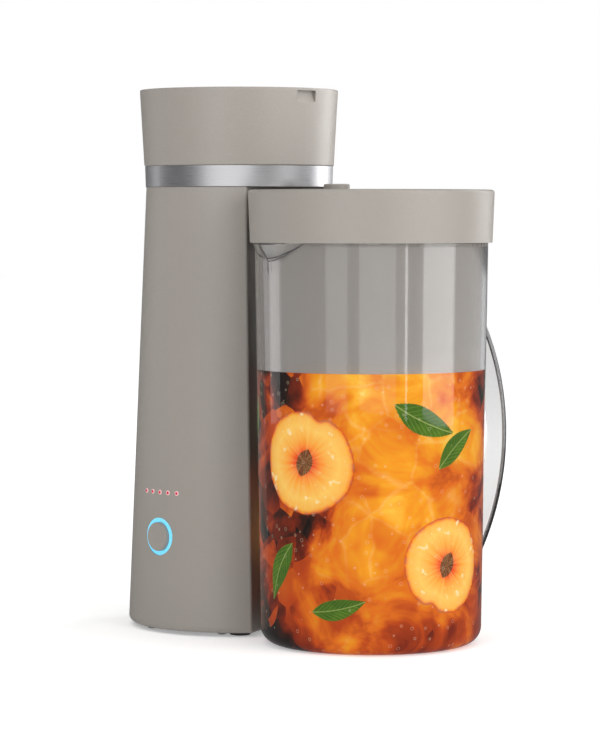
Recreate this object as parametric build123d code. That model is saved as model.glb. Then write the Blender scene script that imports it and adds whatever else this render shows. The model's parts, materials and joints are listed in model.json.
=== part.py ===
"""Iced tea maker: a brewing tower with a hinged top and the pitcher that stands beside it.

All sizes are in millimetres, +Z is up and z = 0 is the table.  The tower stands on the -X side and
the pitcher on the +X side; -Y is the side with the start button.  The origin is on the table, at
the middle of the whole object's box.
"""
from build123d import *
import os
from math import acos, atan2, cos, degrees, hypot, radians, sin, sqrt

# ------------------------------------------------------------------ driving sizes: layout
AXIS_GAP = 112.6                # from the tower's axis to the pitcher's axis
SLIDE_FIT = 0.3                 # clearance of pieces that slide or turn in each other
PIN_FIT = 0.08                  # radial clearance of the lid on its hinge pin
LOOSE_FIT = 1.0                 # clearance of loose pieces, such as the tank in the housing
HEAD_GAP = 2.0                  # pitcher lid's top under the head

# ------------------------------------------------------------------ driving sizes: tower
FOOT_HEIGHT = 2.0
FOOT_RADIUS = 6.4
BODY_RADIUS = 67.0              # housing, at the table
NECK_RADIUS = 55.7              # housing, under the trim band
BODY_TOP = 263.0
BODY_WALL = 2.5
BODY_EDGE = 4.0                 # rounding of the housing's lower edge
CORNER_EDGE = 1.8               # rounding of the two upright corners of the bay
BAY_CLEARANCE = 6.7             # bay around the pitcher's body, at the table
BAY_CLEARANCE_TOP = 5.9         # bay around the pitcher's lid, under the head
TOP_FLANGE = 5.0                # inward flange that carries the head
TOP_FLANGE_THICKNESS = 2.5
PLATE_THICKNESS = 2.5           # base plate and chassis plate
BASE_PLATE_LIFT = 1.0           # base plate above the housing's lower edge
VENT_SLOTS = 6                  # cooling slots in the base plate
VENT_SLOT_LENGTH = 34.0
VENT_SLOT_WIDTH = 3.0
VENT_SLOT_PITCH = 7.0
VENT_SLOT_X = -10.0
CHASSIS_Z = 95.5                # underside of the plate between heater and tank

BAND_HEIGHT = 12.8
BAND_THICKNESS = 1.0
BAND_STEP = 0.4                 # each of neck, band and head stands this much further out
HEAD_FLARE = 2.5                # head's top is this much wider than its bottom
HEAD_HEIGHT = 43.7
HEAD_WALL = 2.2
HEAD_FLOOR = 2.2
LID_THICKNESS = 1.6
LID_EDGE = 0.5
LID_LIP = 2.0                   # height and thickness of the locating lip under the lid
LIP_WALL = 1.6

HINGE_INSET = 12.8              # hinge axis, in from the head's rear edge
HINGE_DROP = 2.9                # hinge axis below the lid's top
KNUCKLE_RADIUS = 2.8
KNUCKLE_HALF = 21.6             # half length of the lid's knuckle
EAR_LENGTH = 8.0
HINGE_GAP = 0.4
PIN_RADIUS = 1.25
REAR_GAP = 4.5                  # fixed rear cap behind the hinge axis
LID_NOTCH = 3.6                 # lid's cut-back in front of the ears

SCOOP_RADIUS = 12.2             # finger scoop under the lid's front edge
SCOOP_WIDTH = 14.7
SCOOP_DEPTH = 3.0
SCOOP_WALL = 1.6

# ------------------------------------------------------------------ driving sizes: brewing parts
FILL_SPACE = 26.8               # room in the head behind the brew well
WELL_FRONT_GAP = 2.8            # brew well to the head's front wall
WELL_WALL = 1.8
WELL_HEIGHT = 39.0
SUMP_RADIUS = 7.0               # small sump at the well's front
DRAIN_SHIFT = 2.8               # drain, in front of the sump's centre
DRAIN_RADIUS = 2.2
NOZZLE_WALL = 1.1
BASKET_GAP = 3.5                # basket's wall inside the well's wall
BASKET_TAPER = 5.0
BASKET_WALL = 1.5
BASKET_FLANGE = 1.8
BASKET_CLEARANCE = 3.0          # basket above the well's floor
BASKET_DRAIN = 3.5
FILTER_WALL = 0.6
FILTER_CLEARANCE = 0.4
FILTER_RIM = 2.0
SPRAY_INSET = 9.0               # spray tray's round inside the basket's rim
SPRAY_INLET_RADIUS = 8.5
SPRAY_DEPTH = 7.0
SPRAY_WALL = 1.5
SPRAY_HOLE = 1.2
SPRAY_HOLES = 12

# ------------------------------------------------------------------ driving sizes: water side
TANK_WALL = 1.8
PIPE_INSET = 20.3               # riser and cold pipe, in from the head's rear wall
PIPE_Y = 24.0
HOSE_RADIUS = 6.0
HOSE_BORE = 4.0
HOSE_BEND = 10.0
HOSE_RUN = 4.0                  # straight hose between a heater stub and the bend
STUB_BORE = 2.8
RISER_DROP = 6.0                # riser hose's end below the brew well's rim
SPOUT_SLEEVE = 12.0             # riser spout's length inside the hose
SPOUT_COLLAR = 1.5
PIPE_SLOT = 7.5                 # half width of the slot in the tank for the riser
FILL_LENGTH = 16.0              # fill opening in the head's floor, along X
FILL_WIDTH = 34.0
FILL_EDGE = 4.0
FILL_REACH = 36.5               # its centre, behind the tower's axis
FILL_SHIFT = -4.0
VALVE_RADIUS = 8.0
VALVE_LENGTH = 16.0
VALVE_BALL = 3.0
VALVE_SEAT = 2.2
VALVE_STUB = 6.0
VALVE_END = 3.0                 # thickness of the valve body's ends
VALVE_RISE = 8.0                # valve above the cold hose's bend
CLAMP_WIDTH = 5.0
CLAMP_THICKNESS = 0.8
CLAMP_EAR = 4.5
CLAMP_EAR_WIDTH = 2.6
CLAMP_BACK = 1.0                # clamp's edge, back from the hose's end

HEATER_Z = 30.0
HEATER_FRONT_GAP = 2.8          # heater to the bay's wall
HEATER_BEND = 24.0
HEATER_WIDTH = 16.0
HEATER_HEIGHT = 28.0
HEATER_EDGE = 4.0
HEATER_STUB = 8.0
ELEMENT_RADIUS = 3.3
ELEMENT_TIP = 5.0
ELEMENT_PIN = 1.2
FUSE_RADIUS = 2.0
FUSE_LENGTH = 16.0
FUSE_WIRE = 5.0
FUSE_WIRE_RADIUS = 0.6
SADDLE_LENGTH = 5.0
SADDLE_WALL = 1.0
PASSAGE_SPACING = 14.0          # water passage above the element
BRACKET_LENGTH = 12.0
BRACKET_THICKNESS = 2.0
BRACKET_SCREW_Y = 12.0
THERMOSTAT_RADIUS = 8.0
THERMOSTAT_HEIGHT = 5.0
THERMOSTAT_EDGE = 1.0
THERMOSTAT_TAB = (6.0, 3.0, 0.8)

# ------------------------------------------------------------------ driving sizes: controls
BUTTON_Z = 57.0
RING_RADIUS = 11.1
CAP_RADIUS = 8.5
CAP_PROUD = 1.8
RING_SUNK = 0.6
RING_DEPTH = 7.0
RING_FLANGE = 1.4
RING_FLANGE_GAP = 2.0           # ring's flange behind the housing's wall
CAP_ROUND = 0.9
BUTTON_TRAVEL = 1.2
LED_Z = 83.2
LED_PITCH = 6.7
LED_COUNT = 5
LED_RADIUS = 1.5
LED_BODY_RADIUS = 1.4
LED_BODY_HEIGHT = 3.0
LED_RIM = 0.8
LENS_PROUD = 0.3
LENS_LENGTH = 5.0
LENS_EDGE = 0.5
LENS_FLANGE = 0.8               # width and thickness of the lens's flange, and its gap to the wall
BOARD_INSET = 14.5              # board's front face behind the housing's skin at the button
BOARD_WIDTH = 46.0
BOARD_THICKNESS = 1.6
BOARD_LOW = 46.0
BOARD_TOP = 92.0
BOARD_POST_RADIUS = 3.0
BOARD_POST_HOLE = 6.0
BOARD_SCREW_BITE = 4.0
SWITCH_HEIGHT = 3.5
SWITCH_WIDTH = 6.0
PLUNGER_RADIUS = 2.0
GROMMET_Z = 22.0
GROMMET_RADIUS = 5.5
GROMMET_BORE = 3.3
GROMMET_FLANGE = 2.0

# ------------------------------------------------------------------ driving sizes: pitcher
PITCHER_RADIUS = 63.7           # at the table
PITCHER_FLARE = 3.9             # rim is this much wider
PITCHER_WALL = 2.3
PITCHER_FLOOR = 3.0
PITCHER_EDGE = 10.0
WRAP_TOP = 158.2
WRAP_THICKNESS = 0.3
WRAP_CLEARANCE = 0.2
LINER_WALL = 1.8
LINER_FLOOR_GAP = 2.0

SPOUT_ANGLE = -15.0             # spout's direction, from -Y towards +X
SPOUT_RADIUS = 50.0
SPOUT_HEIGHT = 8.5
SPOUT_TOP_GAP = 0.4             # spout's lip under the lid's skirt
SPOUT_SLOPE = 0.385
SPOUT_WINDOW = 17.0             # height of the window behind the spout
SPOUT_WINDOW_ANGLE = 22.0       # half width of that window

HANDLE_REACH = 86.5             # handle's outermost point, from the pitcher's axis
HANDLE_LOW = 42.7               # its lower end, from the table
HANDLE_DROP = 60.8              # its upper end, below the pitcher's rim
HANDLE_WIDTH = 20.0
HANDLE_THICKNESS = 3.0
HANDLE_EDGE = 0.7

CAP_HEIGHT = 30.2               # pitcher lid, over all
CAP_OVERHANG = 3.3              # lid's top edge outside the pitcher's rim
CAP_DRAFT = 1.2
CAP_WALL = 2.0
CAP_PLATE = 2.8
CAP_EDGE = 1.8
GASKET_THICKNESS = 2.7
PLUG_WALL = 1.8
PLUG_CLEARANCE = 0.5
PLUG_BOTTOM_GAP = 2.0
CAP_TURN = 55.0                 # lid turns this far, from closed to pouring
SLOT_COUNT = 5
SLOT_WIDTH = 3.0
SLOT_HEIGHT = 12.0
SLOT_ANGLE = 5.0                # from one slot to the next
MOUTH_WIDTH = 30.0              # opening in the lid's skirt at the slots
MOUTH_HEIGHT = 9.0
INLET_RADIUS = 3.2
INLET_REACH = 58.0              # inlet hole, from the pitcher's axis
INLET_TROUGH = 1.4
VENT_REACH = 28.5               # steam vent, from the pitcher's axis towards the tower
VENT_RADIUS = 7.6
VENT_HEIGHT = 3.6
VENT_EDGE = 1.0
VENT_PLUG = 4.5
VENT_BARB = 0.8
VENT_HOLE = 0.8

# ------------------------------------------------------------------ driving sizes: screws
SCREW_RADIUS = 1.5
SCREW_HEAD_RADIUS = 2.9
SCREW_HEAD = 1.8
SCREW_SLOT = 0.8
SCREW_HOLE = 12.0
BOSS_RADIUS = 4.0
BASE_BOSS_HEIGHT = 16.0
BASE_SCREW_BITE = 7.0            # base screw's thread beyond the plate
BASE_BOSS_INSET = 5.8           # bosses, in from the housing's skin at the table
BASE_BOSS_ANGLES = [-100.0, 100.0, -52.0, 52.0]
HEAD_SCREW_INSET = 3.3          # head screws, in from the head's inner wall
HEAD_SCREW_FRONT = 70.0          # the two front head screws, each side of +X

# ------------------------------------------------------------------ derived places
SPIGOT_RADIUS = NECK_RADIUS + BAND_STEP - BAND_THICKNESS
SPIGOT_INNER = SPIGOT_RADIUS - HEAD_WALL
BAND_RADIUS = NECK_RADIUS + BAND_STEP
BAND_RADIUS_TOP = BAND_RADIUS + BAND_STEP
HEAD_RADIUS = BAND_RADIUS_TOP + BAND_STEP
HEAD_RADIUS_TOP = HEAD_RADIUS + HEAD_FLARE
HEAD_STEP = BODY_TOP + BAND_HEIGHT
HEAD_TOP = HEAD_STEP + HEAD_HEIGHT
LID_TOP = HEAD_TOP + LID_THICKNESS
HINGE_X = HINGE_INSET - HEAD_RADIUS_TOP
HINGE_Z = LID_TOP - HINGE_DROP
FLOOR_TOP = BODY_TOP + HEAD_FLOOR
BASE_PLATE_Z = FOOT_HEIGHT + BASE_PLATE_LIFT
BASE_PLATE_TOP = BASE_PLATE_Z + PLATE_THICKNESS
CHASSIS_TOP = CHASSIS_Z + PLATE_THICKNESS
TANK_TOP = BODY_TOP - TOP_FLANGE_THICKNESS - SLIDE_FIT

CAP_TOP = BODY_TOP - HEAD_GAP
CAP_BOTTOM = CAP_TOP - CAP_HEIGHT
PLATE_UNDER = CAP_TOP - CAP_PLATE
PITCHER_HEIGHT = PLATE_UNDER - GASKET_THICKNESS
PITCHER_RADIUS_TOP = PITCHER_RADIUS + PITCHER_FLARE
CAP_RADIUS_TOP = PITCHER_RADIUS_TOP + CAP_OVERHANG
CAP_RADIUS_LOW = CAP_RADIUS_TOP - CAP_DRAFT
LINER_TOP = CAP_BOTTOM - SLIDE_FIT
SPOUT_TOP = CAP_BOTTOM - SPOUT_TOP_GAP
SPOUT_LOW = SPOUT_TOP - SPOUT_HEIGHT
BAY_RADIUS = PITCHER_RADIUS + BAY_CLEARANCE
BAY_RADIUS_TOP = CAP_RADIUS_TOP + BAY_CLEARANCE_TOP

WELL_RADIUS = SPIGOT_INNER - (WELL_FRONT_GAP + FILL_SPACE) / 2
BASKET_X = SPIGOT_INNER - WELL_FRONT_GAP - WELL_RADIUS
SUMP_X = SPIGOT_INNER - SLIDE_FIT - SUMP_RADIUS
DRAIN_X = SUMP_X + DRAIN_SHIFT
WELL_FLOOR_TOP = FLOOR_TOP + WELL_WALL
WELL_TOP = FLOOR_TOP + WELL_HEIGHT
BASKET_RADIUS = WELL_RADIUS - BASKET_GAP
BASKET_BOTTOM = WELL_FLOOR_TOP + BASKET_CLEARANCE
BASKET_TOP = WELL_TOP + BASKET_FLANGE
SPRAY_RADIUS = BASKET_RADIUS - SPRAY_INSET
SPRAY_BOTTOM = HEAD_TOP - SPRAY_DEPTH

PIPE_X = PIPE_INSET - SPIGOT_INNER
RISER_TOP = WELL_TOP - RISER_DROP
PASSAGE_Z = HEATER_Z + PASSAGE_SPACING / 2
BEND_TOP = PASSAGE_Z + HOSE_BEND
VALVE_Z = BEND_TOP + VALVE_RISE
HEATER_TOP = HEATER_Z + HEATER_HEIGHT / 2
HEATER_END_X = PIPE_X + HOSE_BEND + HOSE_RUN + HEATER_STUB

HANDLE_ANGLE = SPOUT_ANGLE + 180.0
HANDLE_DEPTH = (HANDLE_REACH * abs(cos(radians(SPOUT_ANGLE)))
                + HANDLE_WIDTH / 2 * abs(sin(radians(SPOUT_ANGLE))))
WIDEST_RADIUS = max(CAP_RADIUS_TOP, BODY_RADIUS)
TOWER_X = (BODY_RADIUS - AXIS_GAP - CAP_RADIUS_TOP) / 2
PITCHER_X = TOWER_X + AXIS_GAP
AXIS_Y = (WIDEST_RADIUS - HANDLE_DEPTH) / 2

STANDING = (Align.CENTER, Align.CENTER, Align.MIN)
BIG = 400.0


# ------------------------------------------------------------------ helpers
def tower(x, y, z):
    """Place given from the tower's axis and the table."""
    return Pos(TOWER_X + x, AXIS_Y + y, z)


def pitcher(x, y, z):
    """Place given from the pitcher's axis and the table."""
    return Pos(PITCHER_X + x, AXIS_Y + y, z)


def rod(radius, length):
    return Cylinder(radius, length, align=STANDING)


def ring(outer, inner, length):
    return rod(outer, length) - rod(inner, length)


def along_y(radius, length):
    """A rod that starts at the origin and runs towards +Y."""
    return Rot(-90, 0, 0) * rod(radius, length)


def along_x(radius, length):
    """A rod that starts at the origin and runs towards +X."""
    return Rot(0, 90, 0) * rod(radius, length)


def heading(angle):
    """Turn that takes local +X to a direction given from -Y towards +X."""
    return Rot(0, 0, angle - 90)


def body_radius(z):
    return BODY_RADIUS + (NECK_RADIUS - BODY_RADIUS) * z / BODY_TOP


def bay_radius(z):
    return BAY_RADIUS + (BAY_RADIUS_TOP - BAY_RADIUS) * z / BODY_TOP


def pitcher_radius(z):
    return PITCHER_RADIUS + (PITCHER_RADIUS_TOP - PITCHER_RADIUS) * z / PITCHER_HEIGHT


def head_radius(z):
    return HEAD_RADIUS + (HEAD_RADIUS_TOP - HEAD_RADIUS) * (z - HEAD_STEP) / HEAD_HEIGHT


def cap_radius(z):
    return CAP_RADIUS_LOW + (CAP_RADIUS_TOP - CAP_RADIUS_LOW) * (z - CAP_BOTTOM) / CAP_HEIGHT


def frustum(radius_at, z0, z1, inset=0.0):
    """A slice of a cone whose radius is given by a function of the height."""
    low = radius_at(z0) - inset
    high = radius_at(z1) - inset
    return Pos(0, 0, z0) * Cone(low, high, z1 - z0, align=STANDING)


def tower_slice(inset, z0, z1):
    """The housing's outline, drawn in by inset, between two heights."""
    return (tower(0, 0, 0) * frustum(body_radius, z0, z1, inset)
            - pitcher(0, 0, 0) * frustum(bay_radius, z0, z1, -inset))


def screw(length, head_up=True):
    """A pan-head screw with its seat at the origin."""
    shank = Pos(0, 0, -length) * rod(SCREW_RADIUS, length)
    head = rod(SCREW_HEAD_RADIUS, SCREW_HEAD)
    head = fillet(head.edges().sort_by(Axis.Z)[-1], SCREW_HEAD * 0.5)
    arm = SCREW_HEAD_RADIUS * 1.3
    slot = Pos(0, 0, SCREW_HEAD) * (Box(arm, SCREW_SLOT, 2 * SCREW_SLOT)
                                    + Box(SCREW_SLOT, arm, 2 * SCREW_SLOT))
    piece = shank + head - slot
    return piece if head_up else Rot(180, 0, 0) * piece


def write(name, shape):
    export_step(shape, f"parts/{name}.step")


def group(pieces):
    return Compound([solid for piece in pieces for solid in piece.solids()])


# ------------------------------------------------------------------ tower housing
FOOT_PLACES = [(39.0, -35.0), (39.0, 35.0), (-40.0, -40.0), (-40.0, 40.0)]
LEG_PLACES = [(26.0, -40.0), (26.0, 40.0), (-30.0, -44.0), (-30.0, 44.0)]
BOARD_POSTS = [(-18.0, 51.0), (18.0, 51.0), (-18.0, 88.0), (18.0, 88.0)]
BOARD_BLOCKS = [(-9.0, 70.0, (14.0, 9.0, 18.0)), (9.0, 66.0, (10.0, 8.0, 22.0))]     # relay, terminals
BASE_BOSS_REACH = BODY_RADIUS - BASE_BOSS_INSET
HEAD_SCREW_REACH = SPIGOT_INNER - HEAD_SCREW_INSET
PIPE_REACH = hypot(PIPE_X, PIPE_Y)
PIPE_ANGLE = degrees(atan2(PIPE_Y, PIPE_X))
SCREW_TO_PIPE = HOSE_RADIUS + SCREW_HEAD_RADIUS + LOOSE_FIT
SCREW_BESIDE_PIPE = degrees(acos(min(1.0, (PIPE_REACH ** 2 + HEAD_SCREW_REACH ** 2 - SCREW_TO_PIPE ** 2)
                                     / (2 * PIPE_REACH * HEAD_SCREW_REACH))))
HEAD_SCREW_REAR = PIPE_ANGLE - SCREW_BESIDE_PIPE
HEAD_SCREW_ANGLES = [-HEAD_SCREW_FRONT, HEAD_SCREW_FRONT, -HEAD_SCREW_REAR, HEAD_SCREW_REAR]
BOARD_Y = body_radius(BUTTON_Z) - BOARD_INSET


def polar(reach, angle):
    return reach * cos(radians(angle)), reach * sin(radians(angle))


def button_hole(radius):
    return tower(0, -BIG, BUTTON_Z) * along_y(radius, BIG - BOARD_Y - BOARD_THICKNESS)


def led_angles():
    step = degrees(LED_PITCH / body_radius(LED_Z))
    return [-90 + step * (index - (LED_COUNT - 1) / 2) for index in range(LED_COUNT)]


def make_tower_shell():
    outer = tower(0, 0, 0) * frustum(body_radius, FOOT_HEIGHT, BODY_TOP)
    outer = fillet(outer.edges().sort_by(Axis.Z)[0], BODY_EDGE)
    outer -= pitcher(0, 0, 0) * frustum(bay_radius, 0, BODY_TOP)
    tall = BODY_TOP * 0.8
    corners = outer.edges().filter_by(lambda edge: edge.bounding_box().size.Z > tall)
    corners = corners.filter_by(lambda edge: edge.center().X > TOWER_X + AXIS_GAP / 4)
    outer = fillet(corners, CORNER_EDGE)
    shell = outer - tower_slice(BODY_WALL, 0, BODY_TOP - TOP_FLANGE_THICKNESS)
    shell -= tower_slice(BODY_WALL + TOP_FLANGE, BODY_TOP - 2 * TOP_FLANGE_THICKNESS, BODY_TOP)
    inside = tower_slice(BODY_WALL / 2, FOOT_HEIGHT, BODY_TOP)
    seat = BASE_PLATE_TOP
    for angle in BASE_BOSS_ANGLES:
        x, y = polar(BASE_BOSS_REACH, angle)
        shell += (tower(x, y, seat) * rod(BOSS_RADIUS, BASE_BOSS_HEIGHT)) & inside
        shell -= tower(x, y, seat) * rod(SCREW_RADIUS, SCREW_HOLE)
    for x, z in BOARD_POSTS:
        shell += (tower(x, -BOARD_Y, z) * Rot(180, 0, 0) * along_y(BOARD_POST_RADIUS, BODY_RADIUS)) & inside
        shell -= tower(x, -BOARD_Y, z) * Rot(180, 0, 0) * along_y(SCREW_RADIUS, BOARD_POST_HOLE)
    shell -= button_hole(RING_RADIUS)
    for angle in led_angles():
        shell -= (tower(0, 0, LED_Z) * Rot(0, 0, angle) * Pos(BOARD_Y, 0, 0)
                  * along_x(LED_RADIUS, BODY_RADIUS))
    for angle in HEAD_SCREW_ANGLES:
        x, y = polar(HEAD_SCREW_REACH, angle)
        shell -= tower(x, y, BODY_TOP - BIG / 2) * rod(SCREW_RADIUS, BIG)
    shell -= tower(-BIG, 0, GROMMET_Z) * along_x(GROMMET_RADIUS, BIG)
    return shell


def make_base_plate():
    plate = tower_slice(BODY_WALL + SLIDE_FIT, BASE_PLATE_Z, BASE_PLATE_Z + PLATE_THICKNESS)
    for x, y in FOOT_PLACES:
        plate += tower(x, y, FOOT_HEIGHT) * rod(FOOT_RADIUS, BASE_PLATE_LIFT)
        plate -= tower(x, y, FOOT_HEIGHT) * rod(SCREW_RADIUS, BIG)
    for angle in BASE_BOSS_ANGLES:
        x, y = polar(BASE_BOSS_REACH, angle)
        plate -= tower(x, y, 0) * rod(SCREW_RADIUS, BIG)
    for x, y in LEG_PLACES:
        plate -= tower(x, y, 0) * rod(SCREW_RADIUS, BIG)
    slot = extrude(SlotOverall(VENT_SLOT_LENGTH, VENT_SLOT_WIDTH), BIG)
    for index in range(VENT_SLOTS):
        y = (index - (VENT_SLOTS - 1) / 2) * VENT_SLOT_PITCH
        plate -= tower(VENT_SLOT_X, y, 0) * slot
    return plate


def make_feet():
    feet = []
    for x, y in FOOT_PLACES:
        pad = rod(FOOT_RADIUS, FOOT_HEIGHT)
        pad = fillet(pad.edges().sort_by(Axis.Z)[0], FOOT_HEIGHT * 0.35)
        stem = Pos(0, 0, FOOT_HEIGHT) * rod(SCREW_RADIUS, BASE_PLATE_LIFT + PLATE_THICKNESS)
        feet.append(tower(x, y, 0) * (pad + stem))
    return group(feet)


def make_base_screws():
    places = [polar(BASE_BOSS_REACH, angle) for angle in BASE_BOSS_ANGLES] + LEG_PLACES
    return group([tower(x, y, BASE_PLATE_Z) * screw(PLATE_THICKNESS + BASE_SCREW_BITE, head_up=False)
                  for x, y in places])


def pipe_slot(margin):
    """Upright slot from the riser outwards, through the tank's side."""
    half = PIPE_SLOT + margin
    slot = rod(half, BIG) + Pos(BIG / 2, 0, 0) * Box(BIG, 2 * half, BIG, align=STANDING)
    return tower(0, 0, 0) * Rot(0, 0, PIPE_ANGLE) * Pos(PIPE_REACH, 0, 0) * slot


def make_chassis_plate():
    plate = tower_slice(BODY_WALL + LOOSE_FIT, CHASSIS_Z, CHASSIS_TOP)
    low = BASE_PLATE_TOP
    for x, y in LEG_PLACES:
        plate += tower(x, y, low) * rod(BOSS_RADIUS, CHASSIS_Z - low)
        plate -= tower(x, y, low) * rod(SCREW_RADIUS, 10)
    plate -= tower(PIPE_X, -PIPE_Y, 0) * rod(HOSE_RADIUS + LOOSE_FIT, BIG)
    plate -= tower(PIPE_X, PIPE_Y, 0) * rod(HOSE_RADIUS + LOOSE_FIT / 2, BIG)
    return plate


# ------------------------------------------------------------------ head
def make_trim_band():
    outer = tower(0, 0, BODY_TOP) * Cone(BAND_RADIUS, BAND_RADIUS_TOP, BAND_HEIGHT, align=STANDING)
    rims = outer.edges().filter_by(GeomType.CIRCLE)
    outer = fillet(rims, BAND_THICKNESS * 0.4)
    return outer - tower(0, 0, BODY_TOP) * rod(SPIGOT_RADIUS, BAND_HEIGHT)


def rear_cap():
    """Fixed cap behind the lid, with the two ears that hold the hinge pin."""
    disc = tower(0, 0, 0) * frustum(head_radius, HEAD_TOP - LID_THICKNESS, LID_TOP)
    disc = fillet(disc.edges().sort_by(Axis.Z)[-1], LID_EDGE)
    side = HINGE_X - HINGE_GAP
    keep = tower(side, 0, HEAD_TOP) * Box(BIG, BIG, BIG, align=(Align.MAX, Align.CENTER, Align.CENTER))
    middle = tower(HINGE_X - REAR_GAP, 0, HEAD_TOP) * Box(
        REAR_GAP, 2 * (KNUCKLE_HALF + HINGE_GAP), BIG, align=(Align.MIN, Align.CENTER, Align.CENTER))
    cap = (disc & keep) - middle
    for sign in (-1, 1):
        start = KNUCKLE_HALF + HINGE_GAP if sign > 0 else -(KNUCKLE_HALF + HINGE_GAP + EAR_LENGTH)
        ear = tower(HINGE_X, start, HINGE_Z) * along_y(KNUCKLE_RADIUS, EAR_LENGTH)
        web = tower(HINGE_X, start, HINGE_Z) * Box(
            REAR_GAP * 1.5, EAR_LENGTH, 2 * KNUCKLE_RADIUS * 0.8,
            align=(Align.MAX, Align.MIN, Align.CENTER))
        cap += ear + web
    return cap & tower(0, 0, 0) * frustum(head_radius, HEAD_TOP - 2 * KNUCKLE_RADIUS, LID_TOP)


def scoop(grow):
    """Level drum that presses the finger scoop into the head's front edge."""
    reach = HEAD_RADIUS_TOP + SCOOP_RADIUS - SCOOP_DEPTH
    drum = Cylinder(SCOOP_RADIUS + grow, SCOOP_WIDTH + 2 * grow)
    return tower(reach, 0, HEAD_TOP) * Rot(90, 0, 0) * drum


def make_head_shell():
    outer = frustum(head_radius, HEAD_STEP, HEAD_TOP)
    outer = tower(0, 0, 0) * fillet(outer.edges().sort_by(Axis.Z)[0], 0.6)
    body = outer + tower(0, 0, BODY_TOP) * rod(SPIGOT_RADIUS, BAND_HEIGHT)
    hollow = frustum(head_radius, HEAD_STEP + HEAD_WALL, HEAD_TOP, HEAD_WALL)
    hollow += Pos(0, 0, FLOOR_TOP) * rod(SPIGOT_INNER, BAND_HEIGHT + HEAD_WALL)
    hollow = tower(0, 0, 0) * hollow
    shell = body - hollow
    shell += (scoop(SCOOP_WALL) & outer) - tower(0, 0, HEAD_TOP) * rod(BIG, BIG)
    shell -= scoop(0) & tower(0, 0, 0) * frustum(head_radius, HEAD_STEP, HEAD_TOP)
    shell += rear_cap()
    shell -= hinge_bore(0)
    shell -= fill_opening()
    shell -= tower(PIPE_X, PIPE_Y, 0) * rod(HOSE_RADIUS, BIG)
    shell -= tower(DRAIN_X, 0, 0) * rod(DRAIN_RADIUS + NOZZLE_WALL, BIG)
    for angle in HEAD_SCREW_ANGLES:
        x, y = polar(HEAD_SCREW_REACH, angle)
        shell -= tower(x, y, 0) * rod(SCREW_RADIUS, FLOOR_TOP)
    return shell


def hinge_bore(fit):
    length = 2 * (KNUCKLE_HALF + HINGE_GAP + EAR_LENGTH)
    return tower(HINGE_X, -length / 2, HINGE_Z) * along_y(PIN_RADIUS + fit, length)


def fill_opening():
    shape = extrude(RectangleRounded(FILL_LENGTH, FILL_WIDTH, FILL_EDGE), 2 * HEAD_FLOOR)
    return tower(-FILL_REACH, FILL_SHIFT, BODY_TOP - HEAD_FLOOR / 2) * shape


def make_head_screws():
    screws = []
    for angle in HEAD_SCREW_ANGLES:
        x, y = polar(HEAD_SCREW_REACH, angle)
        screws.append(tower(x, y, FLOOR_TOP) * screw(HEAD_FLOOR + TOP_FLANGE_THICKNESS))
    return group(screws)


def make_head_lid():
    plate = tower(0, 0, HEAD_TOP) * rod(HEAD_RADIUS_TOP, LID_THICKNESS)
    plate = fillet(plate.edges().sort_by(Axis.Z)[-1], LID_EDGE)
    lip_radius = HEAD_RADIUS_TOP - HEAD_WALL - LOOSE_FIT
    lip = ring(lip_radius, lip_radius - LIP_WALL, LID_LIP)
    lip = tower(0, 0, HEAD_TOP - LID_LIP) * lip
    lip -= scoop(SCOOP_WALL + LOOSE_FIT)
    front = tower(HINGE_X + 10, 0, HEAD_TOP) * Box(BIG, BIG, BIG,
                                                   align=(Align.MIN, Align.CENTER, Align.CENTER))
    lid = plate + (lip & front)
    lid -= tower(HINGE_X, 0, HEAD_TOP) * Box(BIG, BIG, BIG, align=(Align.MAX, Align.CENTER, Align.CENTER))
    for sign in (-1, 1):
        edge = (Align.MIN, Align.MIN if sign > 0 else Align.MAX, Align.CENTER)
        lid -= tower(HINGE_X - 1, sign * KNUCKLE_HALF, HEAD_TOP) * Box(1 + LID_NOTCH, BIG, BIG, align=edge)
    lid += tower(HINGE_X, -KNUCKLE_HALF, HINGE_Z) * along_y(KNUCKLE_RADIUS, 2 * KNUCKLE_HALF)
    return lid - hinge_bore(PIN_FIT)


def spray_outline(inset):
    """Outline of the spray tray: a round over the basket with an arm to the riser."""
    round_part = Pos(BASKET_X, 0) * Circle(SPRAY_RADIUS - inset)
    start = Pos(PIPE_X, PIPE_Y) * Circle(SPRAY_INLET_RADIUS - inset)
    angle = degrees(atan2(-PIPE_Y, BASKET_X - PIPE_X))
    length = hypot(BASKET_X - PIPE_X, PIPE_Y)
    arm = Pos(PIPE_X, PIPE_Y) * Rot(0, 0, angle) * Rectangle(
        length, 2 * (SPRAY_INLET_RADIUS - inset), align=(Align.MIN, Align.CENTER))
    return round_part + start + arm


def make_spray_tray():
    tray = extrude(spray_outline(0), SPRAY_DEPTH) - Pos(0, 0, SPRAY_WALL) * extrude(
        spray_outline(SPRAY_WALL), SPRAY_DEPTH)
    for index in range(SPRAY_HOLES):
        x, y = polar(SPRAY_RADIUS * 0.62, index * 360 / SPRAY_HOLES)
        tray -= Pos(BASKET_X + x, y, 0) * rod(SPRAY_HOLE, SPRAY_WALL)
    tray -= Pos(PIPE_X, PIPE_Y, 0) * rod(HOSE_BORE + LOOSE_FIT, SPRAY_WALL)
    return tower(0, 0, SPRAY_BOTTOM) * tray


# ------------------------------------------------------------------ brewing parts
def make_brew_well():
    outline = Pos(BASKET_X, 0) * Circle(WELL_RADIUS) + Pos(SUMP_X, 0) * Circle(SUMP_RADIUS)
    inside = (Pos(BASKET_X, 0) * Circle(WELL_RADIUS - WELL_WALL)
              + Pos(SUMP_X, 0) * Circle(SUMP_RADIUS - WELL_WALL))
    well = extrude(outline, WELL_HEIGHT) - Pos(0, 0, WELL_WALL) * extrude(inside, WELL_HEIGHT)
    well -= Pos(DRAIN_X, 0, 0) * rod(DRAIN_RADIUS + NOZZLE_WALL, WELL_WALL)
    return tower(0, 0, FLOOR_TOP) * well


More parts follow.
